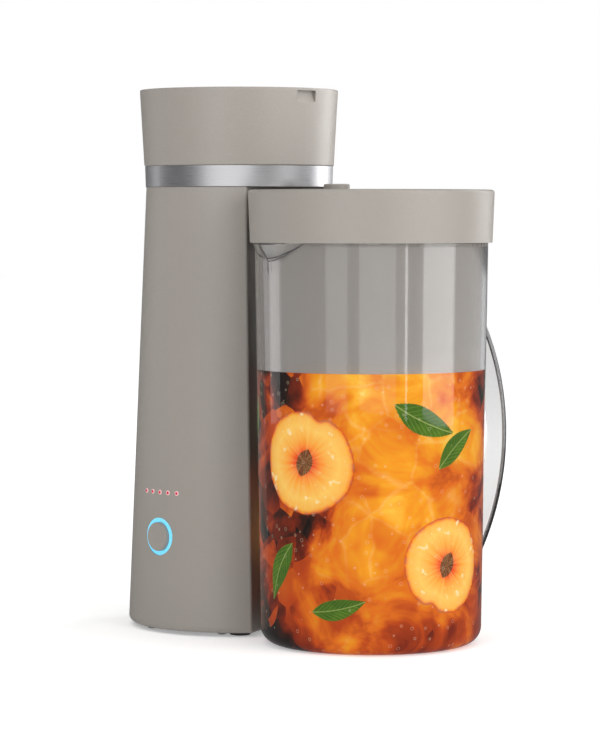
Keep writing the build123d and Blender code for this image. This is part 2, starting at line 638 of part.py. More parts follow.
def make_outlet_nozzle():
    length = WELL_FLOOR_TOP - BODY_TOP
    return tower(DRAIN_X, 0, BODY_TOP) * ring(DRAIN_RADIUS + NOZZLE_WALL, DRAIN_RADIUS, length)


def basket_radius(z):
    return BASKET_RADIUS - BASKET_TAPER * (1 -
        (z - BASKET_BOTTOM) / (BASKET_TOP - BASKET_BOTTOM))


def make_brew_basket():
    cup = frustum(basket_radius, BASKET_BOTTOM, BASKET_TOP)
    cup += Pos(0, 0, WELL_TOP) * rod(WELL_RADIUS - SLIDE_FIT, BASKET_FLANGE)
    cup = fillet(cup.edges().sort_by(Axis.Z)[-1], BASKET_FLANGE * 0.4)
    cup -= frustum(basket_radius, BASKET_BOTTOM + BASKET_WALL, BASKET_TOP, BASKET_WALL)
    cup -= Pos(0, 0, BASKET_BOTTOM) * rod(BASKET_DRAIN, BASKET_WALL)
    return tower(BASKET_X, 0, 0) * cup


def make_mesh_filter():
    inset = BASKET_WALL + FILTER_CLEARANCE
    low = BASKET_BOTTOM + BASKET_WALL
    cup = frustum(basket_radius, low, WELL_TOP, inset)
    cup -= frustum(basket_radius, low + FILTER_WALL, WELL_TOP, inset + FILTER_WALL)
    rim_low = WELL_TOP - FILTER_RIM
    rim = Pos(0, 0, rim_low) * ring(basket_radius(rim_low) - inset,
                                    basket_radius(rim_low) - inset - FILTER_RIM, FILTER_RIM)
    return tower(BASKET_X, 0, 0) * (cup + rim)


# ------------------------------------------------------------------ water side
def make_reservoir_tank():
    inset = BODY_WALL + LOOSE_FIT
    tank = tower_slice(inset, CHASSIS_TOP, TANK_TOP) - pipe_slot(0)
    hollow = tower_slice(inset + TANK_WALL, CHASSIS_TOP + TANK_WALL, TANK_TOP) - pipe_slot(TANK_WALL)
    tank -= hollow
    stub = tower(PIPE_X, -PIPE_Y, CHASSIS_Z - HOSE_BEND)
    tank += stub * rod(HOSE_BORE, HOSE_BEND + PLATE_THICKNESS)
    return tank - stub * rod(STUB_BORE, BIG / 8)


def elbow(outer, inner):
    """Quarter bend: enters at the origin from +X and leaves upwards at (-HOSE_BEND, 0, HOSE_BEND)."""
    section = Plane.YZ * (Circle(outer) - Circle(inner))
    return revolve(section, Axis((0, 0, HOSE_BEND), (0, 1, 0)), 90)


def hose_from_heater(y):
    """Hose from a heater stub, round the bend and up; ends at the bend's top."""
    sleeve = HEATER_STUB * 0.8
    level = tower(PIPE_X + HOSE_BEND, y, PASSAGE_Z) * along_x(HOSE_RADIUS, HOSE_RUN + sleeve)
    level -= tower(PIPE_X + HOSE_BEND, y, PASSAGE_Z) * along_x(HOSE_BORE, HOSE_RUN + sleeve)
    bend = tower(PIPE_X + HOSE_BEND, y, PASSAGE_Z) * elbow(HOSE_RADIUS, HOSE_BORE)
    return level + bend


def make_cold_hose():
    """Two lengths of hose, below and above the check valve."""
    place = tower(PIPE_X, -PIPE_Y, 0)
    low = hose_from_heater(-PIPE_Y)
    low += place * Pos(0, 0, BEND_TOP) * ring(HOSE_RADIUS, HOSE_BORE, VALVE_RISE)
    top = VALVE_Z + VALVE_LENGTH
    high = place * Pos(0, 0, top) * ring(HOSE_RADIUS, HOSE_BORE, CHASSIS_Z - top)
    return group([low, high])


def make_check_valve():
    body = rod(VALVE_RADIUS, VALVE_LENGTH)
    body = fillet(body.edges().filter_by(GeomType.CIRCLE), 1.0)
    start = Pos(0, 0, -VALVE_STUB)
    body += start * rod(HOSE_BORE, VALVE_LENGTH + 2 * VALVE_STUB)
    body -= start * rod(VALVE_SEAT, VALVE_LENGTH + 2 * VALVE_STUB)
    body -= Pos(0, 0, VALVE_END) * rod(VALVE_BALL + LOOSE_FIT, VALVE_LENGTH - 2 * VALVE_END)
    return tower(PIPE_X, -PIPE_Y, VALVE_Z) * body


def make_valve_ball():
    rise = sqrt(VALVE_BALL ** 2 - VALVE_SEAT ** 2)
    return tower(PIPE_X, -PIPE_Y, VALVE_Z + VALVE_END + rise + PIN_FIT) * Sphere(VALVE_BALL)


def make_riser_hose():
    upright = ring(HOSE_RADIUS, HOSE_BORE, RISER_TOP - BEND_TOP)
    return hose_from_heater(PIPE_Y) + tower(PIPE_X, PIPE_Y, BEND_TOP) * upright


def make_riser_spout():
    low = RISER_TOP - SPOUT_SLEEVE
    tube = Pos(0, 0, low) * ring(HOSE_BORE, STUB_BORE, SPRAY_BOTTOM - LOOSE_FIT - low)
    collar = Pos(0, 0, RISER_TOP) * ring(HOSE_RADIUS, STUB_BORE, SPOUT_COLLAR)
    return tower(PIPE_X, PIPE_Y, 0) * (tube + collar)


def make_hose_clamps():
    """Spring clips on every hose end: a band with two pinch ears."""
    band = ring(HOSE_RADIUS + CLAMP_THICKNESS, HOSE_RADIUS, CLAMP_WIDTH)
    ears = Pos(HOSE_RADIUS, 0, 0) * Box(CLAMP_EAR, CLAMP_EAR_WIDTH, CLAMP_WIDTH,
                                        align=(Align.MIN, Align.CENTER, Align.MIN))
    clamp = band + (ears - rod(HOSE_RADIUS, CLAMP_WIDTH))
    pieces = []
    for sign in (-1, 1):
        stub_end = tower(HEATER_END_X - HEATER_STUB, sign * PIPE_Y, PASSAGE_Z)
        pieces.append(stub_end * Pos(CLAMP_BACK, 0, 0) * Rot(0, 90, 0) * Rot(0, 0, -sign * 90) * clamp)
    cold_ends = [VALVE_Z - CLAMP_WIDTH - CLAMP_BACK, VALVE_Z + VALVE_LENGTH + CLAMP_BACK,
                 CHASSIS_Z - CLAMP_WIDTH - CLAMP_BACK]
    for z in cold_ends:
        pieces.append(tower(PIPE_X, -PIPE_Y, z) * clamp)
    pieces.append(tower(PIPE_X, PIPE_Y, RISER_TOP - CLAMP_WIDTH - CLAMP_BACK) * clamp)
    return group(pieces)


HEATER_FRONT = AXIS_GAP - bay_radius(HEATER_TOP) - BODY_WALL - HEATER_FRONT_GAP
HEATER_X = HEATER_FRONT - HEATER_BEND - HEATER_WIDTH / 2
HEATER_LEG = HEATER_X - HEATER_END_X
BRACKET_X = HEATER_X - HEATER_LEG / 2


def u_bar(section, leg):
    """A section (drawn across X, at the bend radius along Y) carried round the heater's U."""
    bend = revolve(Plane.YZ * Pos(HEATER_BEND, 0) * section, Axis.Z, -180)
    legs = extrude(Plane.YZ * Pos(HEATER_BEND, 0) * section, -leg)
    legs += extrude(Plane.YZ * Pos(-HEATER_BEND, 0) * section, -leg)
    return bend + legs


def make_heater_block():
    bar = u_bar(RectangleRounded(HEATER_WIDTH, HEATER_HEIGHT, HEATER_EDGE), HEATER_LEG)
    bar -= u_bar(Pos(0, -PASSAGE_SPACING / 2) * Circle(ELEMENT_RADIUS), HEATER_LEG)
    bar += u_bar(Pos(0, PASSAGE_SPACING / 2) * Circle(HOSE_BORE), HEATER_LEG + HEATER_STUB)
    bar -= u_bar(Pos(0, PASSAGE_SPACING / 2) * Circle(STUB_BORE), HEATER_LEG + HEATER_STUB)
    return tower(HEATER_X, 0, HEATER_Z) * bar


def make_heater_element():
    rod_part = u_bar(Pos(0, -PASSAGE_SPACING / 2) * Circle(ELEMENT_RADIUS), HEATER_LEG + ELEMENT_TIP)
    pins = u_bar(Pos(0, -PASSAGE_SPACING / 2) * Circle(ELEMENT_PIN), HEATER_LEG + 2 * ELEMENT_TIP)
    return tower(HEATER_X, 0, HEATER_Z) * (rod_part + pins)


def make_heater_bracket():
    """Stand under the heater: a pad on the base plate, two uprights and a bed for each leg."""
    low = BASE_PLATE_TOP
    bed = HEATER_Z - HEATER_HEIGHT / 2
    span = 2 * HEATER_BEND + HEATER_WIDTH
    sheet = BRACKET_THICKNESS
    stand = tower(BRACKET_X, 0, low) * Box(BRACKET_LENGTH, span, sheet, align=STANDING)
    for sign in (-1, 1):
        y = sign * HEATER_BEND
        stand += tower(BRACKET_X, y, low) * Box(BRACKET_LENGTH, sheet, bed - low, align=STANDING)
        stand += tower(BRACKET_X, y, bed - sheet) * Box(BRACKET_LENGTH, HEATER_WIDTH, sheet, align=STANDING)
    for sign in (-1, 1):
        stand -= tower(BRACKET_X, sign * BRACKET_SCREW_Y, 0) * rod(SCREW_RADIUS, low + sheet)
    return stand


def make_heater_screws():
    low = BASE_PLATE_TOP + BRACKET_THICKNESS
    return group([tower(BRACKET_X, sign * BRACKET_SCREW_Y, low) * screw(BRACKET_THICKNESS)
                  for sign in (-1, 1)])


def make_thermostat():
    can = rod(THERMOSTAT_RADIUS, THERMOSTAT_HEIGHT)
    can = fillet(can.edges().sort_by(Axis.Z)[-1], THERMOSTAT_EDGE)
    can += Pos(0, 0, THERMOSTAT_HEIGHT) * rod(THERMOSTAT_RADIUS * 0.7, THERMOSTAT_HEIGHT * 0.8)
    for sign in (-1, 1):
        can += Pos(sign * THERMOSTAT_RADIUS, 0, THERMOSTAT_HEIGHT / 2) * Box(*THERMOSTAT_TAB)
    return tower(HEATER_X + HEATER_BEND, 0, HEATER_TOP) * can


def make_thermal_fuse():
    """Fuse in its sleeve on the hot leg, and the saddle that holds it down."""
    start = tower(HEATER_X - HEATER_LEG, HEATER_BEND, HEATER_TOP + FUSE_RADIUS)
    sleeve = start * along_x(FUSE_RADIUS, FUSE_LENGTH)
    wires = start * Pos(-FUSE_WIRE, 0, 0) * along_x(FUSE_WIRE_RADIUS, FUSE_LENGTH + 2 * FUSE_WIRE)
    saddle = start * Pos(FUSE_LENGTH / 2, 0, -FUSE_RADIUS) * Box(
        SADDLE_LENGTH, 2 * (FUSE_RADIUS + SADDLE_WALL), 2 * FUSE_RADIUS + SADDLE_WALL, align=STANDING)
    return sleeve + wires + saddle


# ------------------------------------------------------------------ controls
def make_control_board():
    board = tower(0, -BOARD_Y, BOARD_LOW) * Box(BOARD_WIDTH, BOARD_THICKNESS, BOARD_TOP - BOARD_LOW,
                                                align=(Align.CENTER, Align.MIN, Align.MIN))
    for x, z in BOARD_POSTS:
        board -= tower(x, -BOARD_Y, z) * along_y(SCREW_RADIUS, BOARD_THICKNESS)
    back = -BOARD_Y + BOARD_THICKNESS
    for x, z, size in BOARD_BLOCKS:
        board += tower(x, back, z) * Box(*size, align=(Align.CENTER, Align.MIN, Align.CENTER))
    return board


def make_board_screws():
    back = -BOARD_Y + BOARD_THICKNESS
    return group([tower(x, back, z) * Rot(-90, 0, 0) * screw(BOARD_THICKNESS + BOARD_SCREW_BITE)
                  for x, z in BOARD_POSTS])


def make_start_switch():
    case = Box(SWITCH_WIDTH, SWITCH_HEIGHT, SWITCH_WIDTH, align=(Align.CENTER, Align.MAX, Align.CENTER))
    return tower(0, -BOARD_Y, BUTTON_Z) * case


def make_indicator_leds():
    leds = []
    for angle in led_angles():
        x, y = polar(body_radius(LED_Z), angle)
        led = along_y(LED_BODY_RADIUS, LED_BODY_HEIGHT) + along_y(LED_BODY_RADIUS * 1.3, LED_RIM)
        leds.append(tower(x, -BOARD_Y, LED_Z) * Rot(180, 0, 0) * led)
    return group(leds)


def make_indicator_lenses():
    lenses = []
    for angle in led_angles():
        reach = body_radius(LED_Z) + LENS_PROUD - LENS_LENGTH
        lens = along_x(LED_RADIUS, LENS_LENGTH)
        lens = fillet(lens.edges().filter_by(GeomType.CIRCLE).sort_by(Axis.X)[-1], LENS_EDGE)
        flange = (Pos(LENS_LENGTH - LENS_PROUD - BODY_WALL - 2 * LENS_FLANGE, 0, 0)
                  * along_x(LED_RADIUS + LENS_FLANGE, LENS_FLANGE))
        lenses.append(tower(0, 0, LED_Z) * Rot(0, 0, angle) * Pos(reach, 0, 0) * (lens + flange))
    return group(lenses)


RING_FACE = body_radius(BUTTON_Z) - RING_SUNK


def make_light_ring():
    front = tower(0, -RING_FACE, BUTTON_Z)
    piece = front * (along_y(RING_RADIUS, RING_DEPTH) - along_y(CAP_RADIUS + SLIDE_FIT, RING_DEPTH))
    flange_y = body_radius(BUTTON_Z) - BODY_WALL
    flange = tower(0, -flange_y + RING_FLANGE_GAP, BUTTON_Z) * (
        along_y(RING_RADIUS + RING_FLANGE, RING_FLANGE) - along_y(CAP_RADIUS + SLIDE_FIT, RING_FLANGE))
    return piece + flange


def make_power_button():
    face = body_radius(BUTTON_Z) + CAP_PROUD
    cap = tower(0, -face, BUTTON_Z) * along_y(CAP_RADIUS, CAP_PROUD + RING_DEPTH * 0.7)
    cap = fillet(cap.edges().filter_by(GeomType.CIRCLE).sort_by(Axis.Y)[0], CAP_ROUND)
    reach = face - BOARD_Y - SWITCH_HEIGHT - BUTTON_TRAVEL - SLIDE_FIT
    return cap + tower(0, CAP_ROUND - face, BUTTON_Z) * along_y(PLUNGER_RADIUS, reach - CAP_ROUND)


def make_cord_grommet():
    at_wall = body_radius(GROMMET_Z)
    sleeve = tower(-at_wall - GROMMET_FLANGE, 0, GROMMET_Z) * along_x(
        GROMMET_RADIUS, BODY_WALL + 2 * GROMMET_FLANGE + 1)
    outer = tower(-at_wall - GROMMET_FLANGE, 0, GROMMET_Z) * along_x(GROMMET_RADIUS + 2, GROMMET_FLANGE + 1)
    outer = fillet(outer.edges().filter_by(GeomType.CIRCLE).sort_by(Axis.X)[0], 1.0)
    outer -= tower(0, 0, 0) * frustum(body_radius, FOOT_HEIGHT, BODY_TOP)
    inner = tower(-at_wall + BODY_WALL, 0, GROMMET_Z) * along_x(GROMMET_RADIUS + 1.5, 1 + GROMMET_FLANGE / 2)
    inner &= tower_slice(BODY_WALL, FOOT_HEIGHT, BODY_TOP / 2)
    bore = tower(-BIG / 2, 0, GROMMET_Z) * along_x(GROMMET_BORE, BIG / 2)
    return sleeve + outer + inner - bore


# ------------------------------------------------------------------ pitcher
def spout_body(radius, top):
    """Slanted round form of the spout, from its root to its lip."""
    lean = SPOUT_SLOPE * (top - SPOUT_LOW)
    start = pitcher_radius(SPOUT_LOW) - SPOUT_RADIUS
    rise = top - SPOUT_LOW
    base = Pos(start, 0, SPOUT_LOW) * Circle(radius)
    return extrude(base, amount=hypot(lean, rise), dir=(lean, 0, rise))


def make_pitcher_shell():
    outer = frustum(pitcher_radius, 0, PITCHER_HEIGHT)
    outer = fillet(outer.edges().sort_by(Axis.Z)[0], PITCHER_EDGE)
    inner = frustum(pitcher_radius, PITCHER_FLOOR, PITCHER_HEIGHT, PITCHER_WALL)
    inner = fillet(inner.edges().sort_by(Axis.Z)[0], PITCHER_EDGE - PITCHER_WALL)
    beak = heading(SPOUT_ANGLE) * spout_body(SPOUT_RADIUS, SPOUT_TOP)
    beak_room = heading(SPOUT_ANGLE) * spout_body(SPOUT_RADIUS - PITCHER_WALL, SPOUT_TOP + 1)
    shell = outer + beak - inner - beak_room
    window = Pos(0, 0, SPOUT_TOP) * Cylinder(BIG / 4, SPOUT_WINDOW, arc_size=2 * SPOUT_WINDOW_ANGLE,
                                             align=STANDING)
    window = heading(SPOUT_ANGLE) * Rot(0, 0, -SPOUT_WINDOW_ANGLE) * window
    shell -= window
    shell -= rod(PITCHER_RADIUS - 2 * PITCHER_EDGE, PITCHER_FLOOR * 0.4)
    return pitcher(0, 0, 0) * shell


def make_pitcher_wrap():
    inset = PITCHER_WALL
    low = PITCHER_EDGE + PITCHER_FLOOR
    wrap = frustum(pitcher_radius, low, WRAP_TOP, inset)
    wrap -= frustum(pitcher_radius, low, WRAP_TOP, inset + WRAP_THICKNESS)
    return pitcher(0, 0, 0) * wrap


def make_pitcher_liner():
    inset = PITCHER_WALL + WRAP_THICKNESS + WRAP_CLEARANCE
    low = PITCHER_FLOOR + LINER_FLOOR_GAP
    outer = frustum(pitcher_radius, low, LINER_TOP, inset)
    outer = fillet(outer.edges().sort_by(Axis.Z)[0], PITCHER_EDGE - PITCHER_WALL)
    flange = frustum(pitcher_radius, LINER_TOP - LINER_WALL, LINER_TOP, PITCHER_WALL)
    inner = frustum(pitcher_radius, low + LINER_WALL, LINER_TOP, inset + LINER_WALL)
    inner = fillet(inner.edges().sort_by(Axis.Z)[0], PITCHER_EDGE - PITCHER_WALL - LINER_WALL)
    liner = outer + flange - inner
    low_cut = Pos(0, 0, SPOUT_LOW - 1) * Cylinder(BIG / 4, BIG / 8, align=STANDING,
                                                  arc_size=2 * SPOUT_WINDOW_ANGLE + 6)
    liner -= heading(SPOUT_ANGLE) * Rot(0, 0, -SPOUT_WINDOW_ANGLE - 3) * low_cut
    foot = Pos(0, 0, PITCHER_FLOOR) * ring(PITCHER_RADIUS / 3, PITCHER_RADIUS / 3 - 3, LINER_FLOOR_GAP)
    return pitcher(0, 0, 0) * (liner + foot)


def make_pitcher_handle():
    """A bow of flat strip: a circular arc through its two ends and its outermost point."""
    top = PITCHER_HEIGHT - HANDLE_DROP
    middle = (top + HANDLE_LOW) / 2
    half = (top - HANDLE_LOW) / 2
    bulge = HANDLE_REACH - (pitcher_radius(top) - LOOSE_FIT)
    arc = (half ** 2 + bulge ** 2) / (2 * bulge)
    bow = Cylinder(arc, HANDLE_WIDTH) - Cylinder(arc - HANDLE_THICKNESS, HANDLE_WIDTH)
    bow = chamfer(bow.edges().filter_by(GeomType.CIRCLE), HANDLE_EDGE)
    bow = Pos(HANDLE_REACH - arc, 0, middle) * Rot(90, 0, 0) * bow
    keep = Pos(PITCHER_RADIUS / 2, 0, middle) * Box(HANDLE_REACH, HANDLE_WIDTH, 2 * half + 20,
                                                    align=(Align.MIN, Align.CENTER, Align.CENTER))
    bow = (bow & keep) - frustum(pitcher_radius, 0, PITCHER_HEIGHT)
    return pitcher(0, 0, 0) * heading(HANDLE_ANGLE) * bow


def make_pitcher_lid():
    outer = frustum(cap_radius, CAP_BOTTOM, CAP_TOP)
    outer = fillet(outer.edges().sort_by(Axis.Z)[-1], CAP_EDGE)
    lid = outer - frustum(cap_radius, CAP_BOTTOM, PLATE_UNDER, CAP_WALL)
    plug = pitcher_radius(PITCHER_HEIGHT) - PITCHER_WALL - PLUG_CLEARANCE
    plug = min(plug, pitcher_radius(LINER_TOP) - PITCHER_WALL - PLUG_CLEARANCE)
    low = LINER_TOP + PLUG_BOTTOM_GAP
    lid += Pos(0, 0, low) * ring(plug, plug - PLUG_WALL, PLATE_UNDER - low)
    middle = SPOUT_ANGLE - CAP_TURN
    for index in range(SLOT_COUNT):
        angle = middle + SLOT_ANGLE * (index - (SLOT_COUNT - 1) / 2)
        lid -= heading(angle) * Pos(plug, 0, low + PLUG_BOTTOM_GAP) * Box(
            3 * PLUG_WALL, SLOT_WIDTH, SLOT_HEIGHT, align=STANDING)
    mouth = Pos(cap_radius(CAP_BOTTOM), 0, CAP_BOTTOM) * Box(4 * CAP_WALL, MOUTH_WIDTH, 2 * MOUTH_HEIGHT)
    lid -= heading(middle) * mouth - rod(plug + PLUG_CLEARANCE, BIG)
    start = INLET_REACH
    end = AXIS_GAP - DRAIN_X + DRAIN_RADIUS
    trough = Pos(-(start + end) / 2, 0, CAP_TOP) * extrude(
        SlotOverall(end - start + 2 * INLET_RADIUS, 2 * INLET_RADIUS), -INLET_TROUGH)
    lid -= trough
    lid -= Pos(-start, 0, PLATE_UNDER) * rod(INLET_RADIUS * 0.8, CAP_PLATE)
    lid -= Pos(-VENT_REACH, 0, PLATE_UNDER) * rod(VENT_PLUG, CAP_PLATE)
    return pitcher(0, 0, 0) * lid


def make_lid_gasket():
    outer = pitcher_radius(PITCHER_HEIGHT) + LOOSE_FIT / 2
    inner = pitcher_radius(PITCHER_HEIGHT) - PITCHER_WALL
    return pitcher(0, 0, PITCHER_HEIGHT) * ring(outer, inner, PLATE_UNDER - PITCHER_HEIGHT)


def make_steam_vent():
    cap = rod(VENT_RADIUS, VENT_HEIGHT)
    cap = fillet(cap.edges().sort_by(Axis.Z)[-1], VENT_EDGE)
    cap += Pos(0, 0, -CAP_PLATE) * rod(VENT_PLUG, CAP_PLATE)
    barb = Pos(0, 0, -CAP_PLATE - 2 * VENT_BARB)
    cap += barb * rod(VENT_PLUG + VENT_BARB, 2 * VENT_BARB)
    for index in range(3):
        x, y = polar(VENT_PLUG / 2, 120 * index + 30)
        cap -= barb * Pos(x, y, 0) * rod(VENT_HOLE, BIG / 8)
    return pitcher(-VENT_REACH, 0, CAP_TOP) * cap


# ------------------------------------------------------------------ write every piece
PIECES = {
    "tower_shell": make_tower_shell,
    "base_plate": make_base_plate,
    "feet": make_feet,
    "base_screws": make_base_screws,
    "chassis_plate": make_chassis_plate,
    "trim_band": make_trim_band,
    "head_shell": make_head_shell,
    "head_screws": make_head_screws,
    "hinge_pin": lambda: hinge_bore(0),
    "head_lid": make_head_lid,
    "spray_tray": make_spray_tray,
    "brew_well": make_brew_well,
    "outlet_nozzle": make_outlet_nozzle,
    "brew_basket": make_brew_basket,
    "mesh_filter": make_mesh_filter,
    "reservoir_tank": make_reservoir_tank,
    "cold_hose": make_cold_hose,
    "check_valve": make_check_valve,
    "valve_ball": make_valve_ball,
    "riser_hose": make_riser_hose,
    "riser_spout": make_riser_spout,
    "hose_clamps": make_hose_clamps,
    "heater_block": make_heater_block,
    "heater_element": make_heater_element,
    "heater_bracket": make_heater_bracket,
    "heater_screws": make_heater_screws,
    "thermostat": make_thermostat,
    "thermal_fuse": make_thermal_fuse,
    "control_board": make_control_board,
    "board_screws": make_board_screws,
    "start_switch": make_start_switch,
    "indicator_leds": make_indicator_leds,
    "indicator_lenses": make_indicator_lenses,
    "light_ring": make_light_ring,
    "power_button": make_power_button,
    "cord_grommet": make_cord_grommet,
    "pitcher_shell": make_pitcher_shell,
    "pitcher_wrap": make_pitcher_wrap,
    "pitcher_liner": make_pitcher_liner,
    "pitcher_handle": make_pitcher_handle,
    "pitcher_lid": make_pitcher_lid,
    "lid_gasket": make_lid_gasket,
    "steam_vent": make_steam_vent,
}

os.makedirs("parts", exist_ok=True)
for piece_name, make in PIECES.items():
    write(piece_name, make())
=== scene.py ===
"""Iced tea maker: finishes, printed wrap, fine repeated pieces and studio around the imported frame.

Everything is in metres, in the frame's own axes: +Z is up, the floor is at 0, the tower stands on
the -X side and the pitcher on the +X side, and -Y is the side with the start button.
"""
import json
import math

import bmesh
import bpy
from bpy.types import Operator, Panel, PropertyGroup
from mathutils import Matrix, Vector

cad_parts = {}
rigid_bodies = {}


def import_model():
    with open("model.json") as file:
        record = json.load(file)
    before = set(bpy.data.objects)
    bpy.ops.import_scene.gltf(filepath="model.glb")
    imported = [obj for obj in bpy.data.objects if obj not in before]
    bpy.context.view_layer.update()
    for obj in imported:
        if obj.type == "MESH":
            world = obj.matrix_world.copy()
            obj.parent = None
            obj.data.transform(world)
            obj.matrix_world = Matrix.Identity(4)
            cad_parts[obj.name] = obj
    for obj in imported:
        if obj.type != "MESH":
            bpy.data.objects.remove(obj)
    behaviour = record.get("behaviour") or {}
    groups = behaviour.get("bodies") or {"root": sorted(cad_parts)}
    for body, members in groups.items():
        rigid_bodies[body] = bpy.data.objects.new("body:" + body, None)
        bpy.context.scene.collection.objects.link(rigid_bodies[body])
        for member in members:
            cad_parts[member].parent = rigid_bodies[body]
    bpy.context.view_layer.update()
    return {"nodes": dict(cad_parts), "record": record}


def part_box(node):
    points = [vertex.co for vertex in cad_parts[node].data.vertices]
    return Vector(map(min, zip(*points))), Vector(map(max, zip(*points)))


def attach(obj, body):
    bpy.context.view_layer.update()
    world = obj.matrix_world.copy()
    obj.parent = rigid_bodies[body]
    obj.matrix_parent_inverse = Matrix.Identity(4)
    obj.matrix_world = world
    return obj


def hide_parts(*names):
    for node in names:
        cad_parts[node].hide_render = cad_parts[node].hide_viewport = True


bl_info = {
    "name": "Iced Tea Maker",
    "version": (1, 0, 0),
    "blender": (4, 5, 0),
    "location": "3D View > Sidebar > Tea Maker",
    "description": "Finishes and fine pieces of a countertop iced tea maker and its pitcher",
    "category": "Object",
}

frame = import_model()


def axis_of(node):
    """Point on the floor under the middle of a round CAD node."""
    low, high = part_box(node)
    return Vector(((low.x + high.x) / 2, (low.y + high.y) / 2, 0.0))


TOWER_AXIS = axis_of("trim_band")
PITCHER_AXIS = axis_of("lid_gasket")


# ---------- sizes and colours
def number(name, description, default, **more):
    return bpy.props.FloatProperty(name=name, description=description, default=default,
                                   **{"min": 0.0, **more})


def length(name, description, default):
    return number(name, description, default, precision=5, subtype="DISTANCE", unit="LENGTH")


def share(name, description, default):
    return number(name, description, default, max=1.0, subtype="FACTOR")


def angle(name, description, degrees):
    return number(name, description, math.radians(degrees), min=-math.tau, subtype="ANGLE",
                  unit="ROTATION")


def colour(name, description, default):
    return bpy.props.FloatVectorProperty(name=name, description=description, default=default,
                                         size=3, min=0.0, max=1.0, subtype="COLOR")


class HousingFinish(PropertyGroup):
    """Satin moulded plastic of the tower and of the pitcher's lid."""
    tint: colour("Colour", "Colour of the satin housing plastic", (0.285, 0.262, 0.235))
    roughness: share("Roughness", "Mean roughness of the satin plastic", 0.36)
    grain: length("Grain", "Size of the fine spark-eroded grain", 0.0008)
    grain_depth: length("Grain depth", "Depth of that grain", 0.00016)


class PitcherFinish(PropertyGroup):
    """Clear wall, bow handle and inner liner of the pitcher."""
    clear: colour("Clear wall", "Tint of the clear plastic", (0.93, 0.935, 0.935))
    clear_index: number("Refractive index", "Refractive index of the clear plastic", 1.49)
    smoke: number("Smoke", "Density of the clear wall's smoky tint, per metre", 60.0)
    handle_smoke: number("Handle smoke", "Density of the handle's smoky tint, per metre", 105.0)
    liner: colour("Liner", "Colour of the pitcher's inner liner", (0.61, 0.555, 0.505))


class SpoutCrease(PropertyGroup):
    """Fine dark lines of painted shade along the crease where the spout's cone runs out of the
    pitcher's wall.
    """
    turn: angle("Turn", "Direction of the spout about the pitcher's axis", -105.0)
    low: length("Low end", "Height where the spout begins", 0.2205)
    top: length("Top end", "Height where the lid hides the crease", 0.2304)
    wide: angle("Wide side", "Spread of the crease's long arm", 26.0)
    narrow: angle("Narrow side", "Spread of the crease's short arm", -7.0)
    tail: length("Tail", "Length of the short line under the crease's point", 0.007)
    cord: length("Line radius", "Half the width of one line of the crease", 0.00032)
    apart: length("Line spacing", "Distance between the crease's two lines", 0.0014)


class WrapPrint(PropertyGroup):
    """Printed sleeve between the pitcher's two walls."""
    top: length("Top", "Height of the print's upper edge", 0.1582)
    foot_reach: length("Foot reach", "How far the print runs in under the floor", 0.016)
    thickness: length("Thickness", "Thickness of the printed film", 0.0003)
    bond: length("Bond", "How far the film is sunk into the clear wall", 0.0001)
    facet: length("Ice size", "Mean size of the ice in the print", 0.026)
    brightness: share("Brightness", "Middle of the tea's run from dark to pale amber", 0.72)
    # painted light: the print gives off its own colour, so it shines though no lamp lights it from
    # inside
    glow: number("Glow", "Light that passes through the print from inside", 0.6)
    bubble: length("Bubble spacing", "Mean spacing of the bubbles in the print", 0.0052)


class FilterWeave(PropertyGroup):
    """Woven wire cup inside the brew basket."""
    pitch: length("Pitch", "Distance from wire to wire", 0.00135)
    wire: length("Wire radius", "Radius of a wire", 0.00016)
    rim: length("Rim", "Width and height of the square rim", 0.002)
    taper: length("Taper", "How much narrower the cup's foot is than its rim", 0.0045417)


class LampSizes(PropertyGroup):
    """Row of indicator lamps over the start button."""
    lamps: bpy.props.IntProperty(name="Lamps", description="Number of lamps in the row",
                                 default=5, min=1)
    pitch: angle("Pitch", "Turn about the tower's axis from lamp to lamp", 6.0525)
    height: length("Height", "Height of the row", 0.0832)
    reach: length("Reach", "Housing's radius at the row", 0.063425)
    lens_radius: length("Lens radius", "Radius of the pale lens", 0.0015)
    core_radius: length("Core radius", "Radius of the lit core", 0.00092)


class FootSizes(PropertyGroup):
    """Rubber feet of the tower."""
    radius: length("Radius", "Radius of a foot", 0.0064)
    height: length("Height", "Height of a foot", 0.002)
    stem: length("Stem radius", "Radius of the stem in the base plate", 0.0015)
    stem_length: length("Stem length", "Length of the stem", 0.0035)


class ScrewSizes(PropertyGroup):
    """Pan-head screws in the base plate."""
    head_radius: length("Head radius", "Radius of the pan head", 0.0029)
    head_height: length("Head height", "Height of the pan head", 0.0018)
    shank: length("Shank", "Length of the shank", 0.0095)
    shank_radius: length("Shank radius", "Radius of the shank", 0.0015)
    slot: length("Slot", "Width and depth of the cross slot", 0.0008)


class StudioSetup(PropertyGroup):
    """Floor, lamps and camera."""
    floor: colour("Floor", "Colour of the floor", (0.88, 0.88, 0.875))
    room_light: number("Room light", "Strength of the even light from all round", 0.5)
    room_gloss: share("Room in reflections", "Share of the room light seen in reflections", 0.35)
    floor_glow: number("Floor glow", "Light that the far floor gives off", 0.6)
    view_azimuth: angle("View azimuth", "Camera's direction about the upright axis", 46.51)
    view_elevation: angle("View elevation", "Camera's height above level", 2.9)
    view_distance: length("View distance", "Camera's distance from its target", 1.8235)
    target_right: length("Target to the right", "From the tower's axis to the target", 0.03659)
    target_height: length("Target height", "Height of the camera's target", 0.15522)
    lens: number("Lens", "Focal length in millimetres", 148.44)


# ---------- node trees
def rgba(tone):
    return (*tone[:3], 1.0)


def shade(tone, factor):
    return tuple(part * factor for part in tone)


def sign(operation, swapped=False):
    """Method that adds the Math node for one sign of arithmetic."""
    def add_node(wire, other=0.0):
        pair = (other, wire) if swapped else (wire, other)
        return wire.graph.math(operation, *pair)
    return add_node


